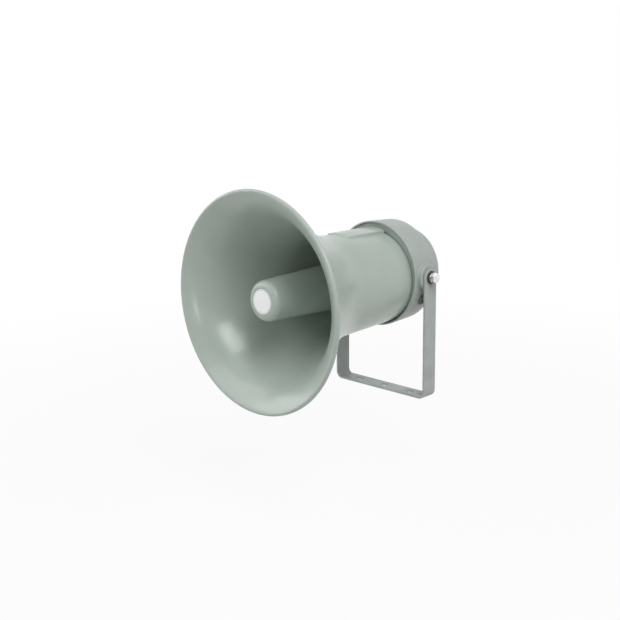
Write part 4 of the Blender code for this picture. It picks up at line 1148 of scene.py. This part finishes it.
@dataclass
class Grommet:
    """The rubber grommet in the cover's side, open for a cable, turned about its own slanted line."""

    cover: "RearCover"
    angle: float = math.radians(-26.0)
    ahead: float = 15.0 * MM
    inside: float = 2.4 * MM
    bore_r: float = 2.6 * MM
    neck_r: float = 4.6 * MM
    flange_r: float = 6.6 * MM
    flange_t: float = 1.0 * MM
    lift: float = 0.2 * MM
    nose_r: float = 5.0 * MM
    nose_stand: float = 2.0 * MM
    tail_r: float = 3.9 * MM
    tail_length: float = 1.4 * MM

    def line(self) -> Spindle:
        """Works out the grommet's line: square to the cover's tapered skin, at its angle round the cover.

        Returns:
            The line, with station 0 on the skin.
        """
        cover, layout = self.cover, self.cover.layout
        station = cover.end - self.ahead
        radial = np.array([math.cos(self.angle), 0.0, math.sin(self.angle)])
        along = radial + np.array([0.0, math.tan(cover.draft), 0.0])
        along /= np.linalg.norm(along)
        seat = radial * cover.radius(station) + np.array([0.0, station + layout.rim_y, layout.cover_z])
        zero = np.cross(along, [0.0, 0.0, 1.0])
        return Spindle(tuple(seat), tuple(along), tuple(zero / np.linalg.norm(zero)))

    def build(self) -> None:
        """Makes the grommet: nose, flange on the skin, neck through the wall and bulb inside."""
        inner, bore, flange, neck = -self.cover.wall - self.inside, self.bore_r, self.flange_r, self.neck_r
        outline = rounded([
            (inner, bore, 0.3 * MM), (self.nose_stand, bore, 0.5 * MM),
            (self.nose_stand, self.nose_r, 0.6 * MM), (self.flange_t, flange, 0.5 * MM),
            (self.lift, flange, 0.2 * MM), (self.lift, neck, 0.0),
            (inner + self.tail_length, neck, 0.2 * MM), (inner, self.tail_r, 0.4 * MM),
        ])
        shell = Shell().add(self.line().turn(outline))
        settle(shell.make("grommet_shell", GREY_RUBBER), Body.HORN, "black_rubber", "cable_grommet")


@dataclass
class RearCover:
    """The stepped rear cover with its pivot bosses, the end cap with its screws, and the grommet."""

    layout: Layout
    columns: int = 160
    lip: float = 174.5 * MM
    wall: float = 1.9 * MM
    draft: float = math.radians(2.6)
    end: float = 209.0 * MM
    edge_r: float = 2.6 * MM
    rear_wall: float = 2.1 * MM
    wire_hole_r: float = 5.0 * MM
    spigot_length: float = 3.0 * MM
    spigot_wall: float = 1.0 * MM
    cap_r: float = 43.7096 * MM
    cap_wall: float = 2.0 * MM
    cap_front: float = 210.6 * MM
    cap_end: float = 230.6 * MM
    cap_edge_r: float = 1.6 * MM
    seal_t: float = 1.0 * MM
    seal_back: float = 0.3 * MM
    seat_depth: float = 2.0 * MM
    seat_t: float = 1.5 * MM
    seat_gap: float = 0.8 * MM
    body_rear_r: float = 50.1 * MM
    boss_r: float = 13.6 * MM
    boss_stand: float = 4.6 * MM
    boss_back: float = 51.005 * MM
    boss_hole_r: float = 4.7 * MM
    boss_hole_depth: float = 8.2 * MM
    boss_hole_edge: float = 0.4 * MM
    boss_columns: int = 96
    foot_r: float = 1.2 * MM
    foot_steps: int = 8
    brow_r: float = 0.9 * MM
    brow_steps: int = 6
    screw_circle_r: float = 34.0 * MM
    sink_r: float = 3.1 * MM
    sink_depth: float = 1.6 * MM
    screw_hole_r: float = 1.7 * MM

    def radius(self, station: np.ndarray | float) -> np.ndarray | float:
        """Returns the cover's outer radius: it shrinks rearward by the draft's tangent."""
        return self.layout.lip_r - (station - self.lip) * math.tan(self.draft)

    def skin(self, rho: np.ndarray, turns: np.ndarray) -> np.ndarray:
        """Works out how far out the cover's skin lies: the root of its radius² less the height².

        Args:
            rho: distances from the bolts' axis.
            turns: turns about it.

        Returns:
            The distances from the speaker's middle plane.
        """
        station = self.layout.pivot_station() + rho * np.cos(turns)
        height = self.layout.pivot[2] - self.layout.cover_z + rho * np.sin(turns)
        return np.sqrt(self.radius(station) ** 2 - height ** 2)

    def boss(self, side: Side) -> np.ndarray:
        """Works out one pivot boss as rings about the bolts' axis.

        With x0 the cover's skin at a point, the fillet at the foot is the quarter circle
        rho = R + f(1 - sin a), x = x0 + f(1 - cos a), and the brow is the quarter circle
        rho = R - b(1 - cos c), x = face - b + b sin c. The other rings are flat, the bore or inside.

        Args:
            side: the side that it stands on.

        Returns:
            The grid, one row for each ring.
        """
        turns = np.linspace(0, TAU, self.boss_columns + 1)[None, :-1]
        a, c = (np.linspace(RIGHT_ANGLE, 0, steps + 1)[:, None]
                for steps in (self.foot_steps, self.brow_steps))
        foot = self.boss_r + self.foot_r * (1 - np.sin(a))
        brow = self.boss_r - self.brow_r * (1 - np.cos(c))
        face = self.radius(self.layout.pivot_station()) + self.boss_stand
        floor, bore, edge = face - self.boss_hole_depth, self.boss_hole_r, self.boss_hole_edge
        rings = [
            (0.0, floor), (bore, floor), (bore, face - edge), (bore + edge, face),
            (brow, face - self.brow_r + self.brow_r * np.sin(c)),
            (foot, self.skin(foot, turns) + self.foot_r * (1 - np.cos(a))),
            (foot[-1:], self.skin(foot[-1:], turns) - self.foot_r),
            (self.boss_r, self.boss_back), (0.0, self.boss_back),
        ]
        even = np.ones_like(turns)
        rho, out = (np.concatenate([part * even for part in parts]) for parts in zip(*rings))
        return self.layout.bolt(side).grid(out, rho, turns * side.value)

    def build_cover(self) -> None:
        """Makes the cover's cup with its spigot, its two pivot bosses and its seat ring."""
        in_end, inside, hole = self.radius(self.end) - self.wall, self.end - self.rear_wall, self.wire_hole_r
        spigot, spigot_end = self.cap_r - self.cap_wall - GAP, self.end + self.spigot_length
        outline = rounded([
            (self.lip, self.layout.lip_r - self.wall, 0.5 * MM), (self.lip, self.layout.lip_r, 0.9 * MM),
            (self.end, self.radius(self.end), self.edge_r), (self.end, spigot, 0.2 * MM),
            (spigot_end, spigot - GAP, 0.3 * MM), (spigot_end, spigot - self.spigot_wall, 0.2 * MM),
            (self.end, spigot - self.spigot_wall, 0.2 * MM), (self.end, hole, 0.3 * MM),
            (inside, hole, 0.3 * MM), (inside, in_end, 1.5 * MM),
        ], steps=8)
        shell = Shell().add(self.layout.cover().turn(outline, self.columns))
        for side in Side:
            shell.add(self.boss(side))
        shell.add(self.seat_ring())
        settle(shell.make("cover_shell", COVER_PLASTIC), Body.HORN, "horn_plastic", "rear_cover")

    def seat_ring(self) -> np.ndarray:
        """Works out the ring inside the lip that closes round the body.

        Its outer circle has the cover's axis and its inner one the horn's axis, so each ray is the
        straight line between the two circles' points at the same angle.

        Returns:
            The grid, one row for each point of the ring's section.
        """
        turns = np.arange(self.columns)[None, :] * TAU / self.columns
        near = self.lip + self.seat_depth
        edge = ring(near, near + self.seat_t, 0.0, 1.0, (0.3, 0.0, 0.0, 0.3), steps=3)
        stations, share = edge[:, :1], np.clip(edge[:, 1:, None], 0, 1)
        inner = self.layout.horn().grid(stations, self.body_rear_r + self.seat_gap, turns)
        outer = self.layout.cover().grid(stations, self.radius(stations) - self.wall / 2, turns)
        return inner * (1 - share) + outer * share

    def build_cap(self) -> None:
        """Makes the end cap, its seal and its countersunk screws."""
        inside, in_r = self.cap_end - self.cap_wall, self.cap_r - self.cap_wall
        outline = rounded([
            (self.cap_front, in_r, 0.2 * MM), (self.cap_front, self.cap_r, 0.5 * MM),
            (self.cap_end, self.cap_r, self.cap_edge_r), (self.cap_end, 0.0, 0.0), (inside, 0.0, 0.0),
            (inside, in_r, 1.2 * MM),
        ], steps=8)
        cap = Shell().add(self.layout.cover().turn(outline, count=144)).make("cap_shell", COVER_PLASTIC)
        sink = np.array([(self.cap_end + OVER, 0.0), (self.cap_end + OVER, self.sink_r + OVER),
                         (self.cap_end, self.sink_r), (self.cap_end - self.sink_depth, self.screw_hole_r),
                         (inside - OVER, self.screw_hole_r), (inside - OVER, 0.0)])
        lines = self.layout.cover().around(self.screw_circle_r, RIGHT_ANGLE + np.arange(3) * TAU / 3)
        cutter = Shell()
        for line in lines:
            cutter.add(line.turn(sink, count=40))
        cut(cap, cutter)
        settle(cap, Body.HORN, "horn_plastic", "end_cap")
        for number, line in enumerate(lines, 1):
            CapScrew(line, number, self.cap_end).build()
        front = self.end + GAP
        seal = ring(front, front + self.seal_t, in_r, self.cap_r - self.seal_back, (0.2, 0.3, 0.3, 0.2))
        shell = Shell().add(self.layout.cover().turn(seal, count=144))
        settle(shell.make("seal_ring", RUBBER), Body.HORN, "black_rubber", "cap_seal")

    def build(self) -> None:
        """Makes every piece of the rear."""
        self.build_cover()
        self.build_cap()
        Grommet(self).build()


@dataclass
class BoltStack:
    """One side's rubber washer, split lock washer and hexagon bolt."""

    layout: Layout
    side: Side
    bolt_r: float = 3.0 * MM
    hole_r: float = 3.3 * MM
    washer_r: float = 6.9 * MM
    washer_t: float = 1.3 * MM
    lock_r: float = 5.4 * MM
    lock_t: float = 1.5 * MM
    lock_climb: float = 0.2 * MM
    lock_play: float = 0.05 * MM
    lock_split: float = math.radians(8.0)
    lock_rows: int = 80
    flats: float = 10.0 * MM
    head_t: float = 4.0 * MM
    head_foot: float = 0.15 * MM
    land_share: float = 0.46
    chamfer: float = math.pi / 6
    tip: float = 52.7 * MM
    pitch: float = 1.0 * MM
    thread_depth: float = 0.5 * MM
    thread_end: float = 1.5 * MM
    point: float = 0.8 * MM
    rows_per_pitch: int = 8
    columns: int = 96

    def settle(
        self, shell: Shell, word: str, finish: Finish, slot: str, node: str, crease: float = CREASE
    ) -> None:
        """Makes a piece of this side and settles it on the horn.

        Args:
            shell: its grids.
            word: its name after the side's.
            finish: what it is made of.
            slot: the record's material slot.
            node: the node that it replaces, after the side's name.
            crease: the angle in degrees past which an edge stays sharp.
        """
        side = self.side.name.lower()
        settle(shell.make(f"{side}_{word}", finish, crease), Body.HORN, slot, f"{side}_{node}")

    def washer(self) -> None:
        """Makes the dark rubber washer."""
        near = self.layout.leg_x + GAP
        outline = ring(near, near + self.washer_t, self.hole_r, self.washer_r, (0.2, 0.3, 0.5, 0.3))
        shell = Shell().add(self.layout.bolt(self.side).turn(outline, count=72))
        self.settle(shell, "rubber_washer", RUBBER, "black_rubber", "washer")

    def lock_washer(self) -> None:
        """Makes the split spring washer.

        A rounded square section runs round the bolt from 8 to 352 degrees and climbs by 0.2 mm on
        the way; the two end sections are closed with their own middle point.
        """
        near = self.layout.leg_x + 2 * GAP + self.washer_t
        section = ring(near + self.lock_play, near + self.lock_t - self.lock_play - self.lock_climb,
                       self.hole_r, self.lock_r, (0.3, 0.3, 0.3, 0.3), steps=3)
        middle = np.tile(section.mean(0), (len(section), 1))
        turns = np.linspace(self.lock_split, TAU - self.lock_split, self.lock_rows)
        turns = np.concatenate([turns[:1], turns, turns[-1:]])[:, None]
        path = np.stack([middle, *[section] * self.lock_rows, middle])
        climb = self.lock_climb * turns / TAU
        grid = self.layout.bolt(self.side).grid(path[..., 0] + climb, path[..., 1], turns)
        self.settle(Shell().add(grid, loop_rows=False), "spring_washer", BOLT_PLATE, "zinc", "lock_washer")

    def bolt(self) -> None:
        """Makes the hexagon bolt: chamfered head and a threaded shank.

        The head's side lies at flats/2 over cos(angle off the flat's middle), and its top edge is cut
        by a cone: height = face - (radius - land)·tan 30°. The thread's radius is the bolt's radius
        less a triangle wave of (station/pitch - angle/turn), thread_depth deep.
        """
        head = self.layout.leg_x + 3 * GAP + self.washer_t + self.lock_t
        face, land, foot = head + self.head_t, self.land_share * self.flats, self.head_foot
        turns, sixth = np.arange(self.columns) * TAU / self.columns, TAU / 6
        hexagon = self.flats / 2 / np.cos((turns + sixth / 2) % sixth - sixth / 2)
        rows = np.linspace(head, self.tip, int((head - self.tip) / self.pitch * self.rows_per_pitch))[:, None]
        wave = np.abs(((rows / self.pitch - turns / TAU) % 1.0) * 2 - 1)
        wave = wave * smooth((head - self.thread_end - rows) / OVER) * smooth((rows - self.tip) / OVER)
        thread = self.bolt_r - self.thread_depth * (wave + 1 - smooth((rows - self.tip) / self.point))
        rings = [
            (0.0, face), (land, face), (hexagon, face - (hexagon - land) * math.tan(self.chamfer)),
            (hexagon, head + foot), (hexagon - foot, head), (self.bolt_r, head),
            (thread, rows), (0.0, self.tip),
        ]
        even = np.ones_like(turns)[None, :]
        radii, stations = (np.concatenate([part * even for part in parts]) for parts in zip(*rings))
        shell = Shell().add(self.layout.bolt(self.side).grid(stations, radii, turns), loop_rows=False)
        self.settle(shell, "hex_bolt", BOLT_PLATE, "zinc", "bolt", HEX_CREASE)

    def build(self) -> None:
        """Makes the whole stack."""
        self.washer()
        self.lock_washer()
        self.bolt()


@dataclass
class Bracket:
    """The U-bracket, bent from strap with rolled edges, rounded ends, bolt holes, a hole and two slots."""

    layout: Layout
    strap_w: float = 19.0 * MM
    strap_t: float = 2.4 * MM
    bend_r: float = 8.0 * MM
    edge_r: float = 0.55 * MM
    edge_steps: int = 6
    bolt_hole_r: float = 3.3 * MM
    base_hole_r: float = 4.25 * MM
    slot_r: float = 3.0 * MM
    slot_length: float = 11.0 * MM
    slot_spacing: float = 72.0 * MM
    hole_flare: float = 0.35 * MM
    end_points: int = 25
    leg_points: int = 29
    bend_points: int = 14
    base_points: int = 38

    def path(self) -> tuple[np.ndarray, np.ndarray, np.ndarray]:
        """Works out the strap's outer line, down one leg, round a quarter circle, along the base and back up.

        Near each end the half width is the root of half² less the distance past the bolt squared.

        Returns:
            The line in X and Z, its inward normals and its half widths.
        """
        half, top = self.strap_w / 2, self.layout.pivot[2]
        x, r = self.layout.leg_x, self.bend_r
        past = half * np.sin(np.linspace(RIGHT_ANGLE, 0, self.end_points))
        leg = np.concatenate([top + past, np.linspace(top, r, self.leg_points + 1)[1:]])
        bend = np.linspace(0, RIGHT_ANGLE, self.bend_points + 1)[1:]
        line = np.concatenate([
            np.stack([np.full_like(leg, x), leg], 1),
            np.stack([x - r + r * np.cos(bend), r - r * np.sin(bend)], 1),
        ])
        normal = np.concatenate([
            np.tile([[-1.0, 0.0]], (len(leg), 1)), np.stack([-np.cos(bend), np.sin(bend)], 1)])
        width = np.concatenate([
            np.sqrt(np.maximum(half ** 2 - past ** 2, 0)), np.full(len(line) - len(past), half)])
        base = np.linspace(x - r, r - x, self.base_points + 2)[1:-1]
        level, flip = np.zeros_like(base), np.array([-1.0, 1.0])
        return (
            np.concatenate([line, np.stack([base, level], 1), line[::-1] * flip]),
            np.concatenate([normal, np.stack([level, level + 1], 1), normal[::-1] * flip]),
            np.concatenate([width, level + half, width[::-1]]),
        )

    def build(self) -> None:
        """Sweeps the strap's rounded section along its path and drills it.

        Each corner of the section is a quarter circle of edge_r, and the edges shrink with the width
        where the strap runs out at its ends.
        """
        points, normals, halves = self.path()
        e, t = self.edge_r, self.strap_t
        turn = np.linspace(0, RIGHT_ANGLE, self.edge_steps + 1)
        corner = np.stack([np.cos(turn), np.sin(turn)]) * e
        side, off, depth = [], [], []
        for across, up, start in ((1, 1, t - e), (-1, 1, t - e), (-1, -1, e), (1, -1, e)):
            bend = corner[:, ::across * up]
            side.append(np.full(len(turn), across))
            off.append(across * (bend[0] - e))
            depth.append(start + up * bend[1])
        side, off, depth = (np.concatenate(part)[None, :] for part in (side, off, depth))
        shrink = np.minimum(1.0, halves / (2 * e))[:, None]
        grid = np.stack([
            points[:, :1] + normals[:, :1] * depth,
            self.layout.pivot[1] + (side * halves[:, None] + off * shrink),
            points[:, 1:] + normals[:, 1:] * depth,
        ], -1)
        strap = Shell().add(grid, loop_rows=False).make("bracket_strap", BRACKET_PAINT)
        # The walls of the holes get a darker colour as painted shade
        cut(strap, self.cutters(), HOLE_WALL_SHADE)
        settle(strap, Body.BRACKET, "painted_steel", "bracket")

    def bore(self, radius: float, low: float) -> np.ndarray:
        """Works out a hole's outline, which opens out by hole_flare at both faces of the strap.

        Args:
            radius: the hole's radius.
            low: the station of the strap's first face.

        Returns:
            Stations and radii, from below the strap to above it.
        """
        high, flare = low + self.strap_t, self.hole_flare
        return np.array([
            (low - OVER, 0.0), (low - OVER, radius + flare + OVER), (low + flare, radius),
            (high - flare, radius), (high + OVER, radius + flare + OVER), (high + OVER, 0.0)])

    def cutters(self) -> Shell:
        """Works out the holes: two for the bolts, one in the middle of the base and a slot on each side.

        A slot is a round hole whose halves are moved apart along X.

        Returns:
            The shell that holds them all.
        """
        shell = Shell()
        for side in Side:
            line = self.layout.bolt(side)
            shell.add(line.turn(self.bore(self.bolt_hole_r, self.layout.leg_x - self.strap_t), count=48))
        upright = Spindle((0.0, self.layout.pivot[1], 0.0), (0.0, 0.0, 1.0))
        shell.add(upright.turn(self.bore(self.base_hole_r, 0.0), count=56))
        turns = np.arange(48) * TAU / 48
        stretch = (self.slot_length / 2 - self.slot_r) * np.sign(np.round(np.cos(turns), 6))
        for line in upright.around(self.slot_spacing / 2, np.array([0.0, math.pi])):
            grid = line.turn(self.bore(self.slot_r, 0.0), count=48)
            grid[1:-1, :, 0] += stretch
            shell.add(grid)
        return shell


def main() -> None:
    """Builds the studio and every piece in order."""
    Studio().build()
    layout = Layout.read(Bell.bead_r)
    Bell(layout).build()
    Reflector(layout).build()
    RearCover(layout).build()
    for side in Side:
        BoltStack(layout, side).build()
    Bracket(layout).build()
    dress_inner_nodes()


if __name__ == "__main__":
    main()
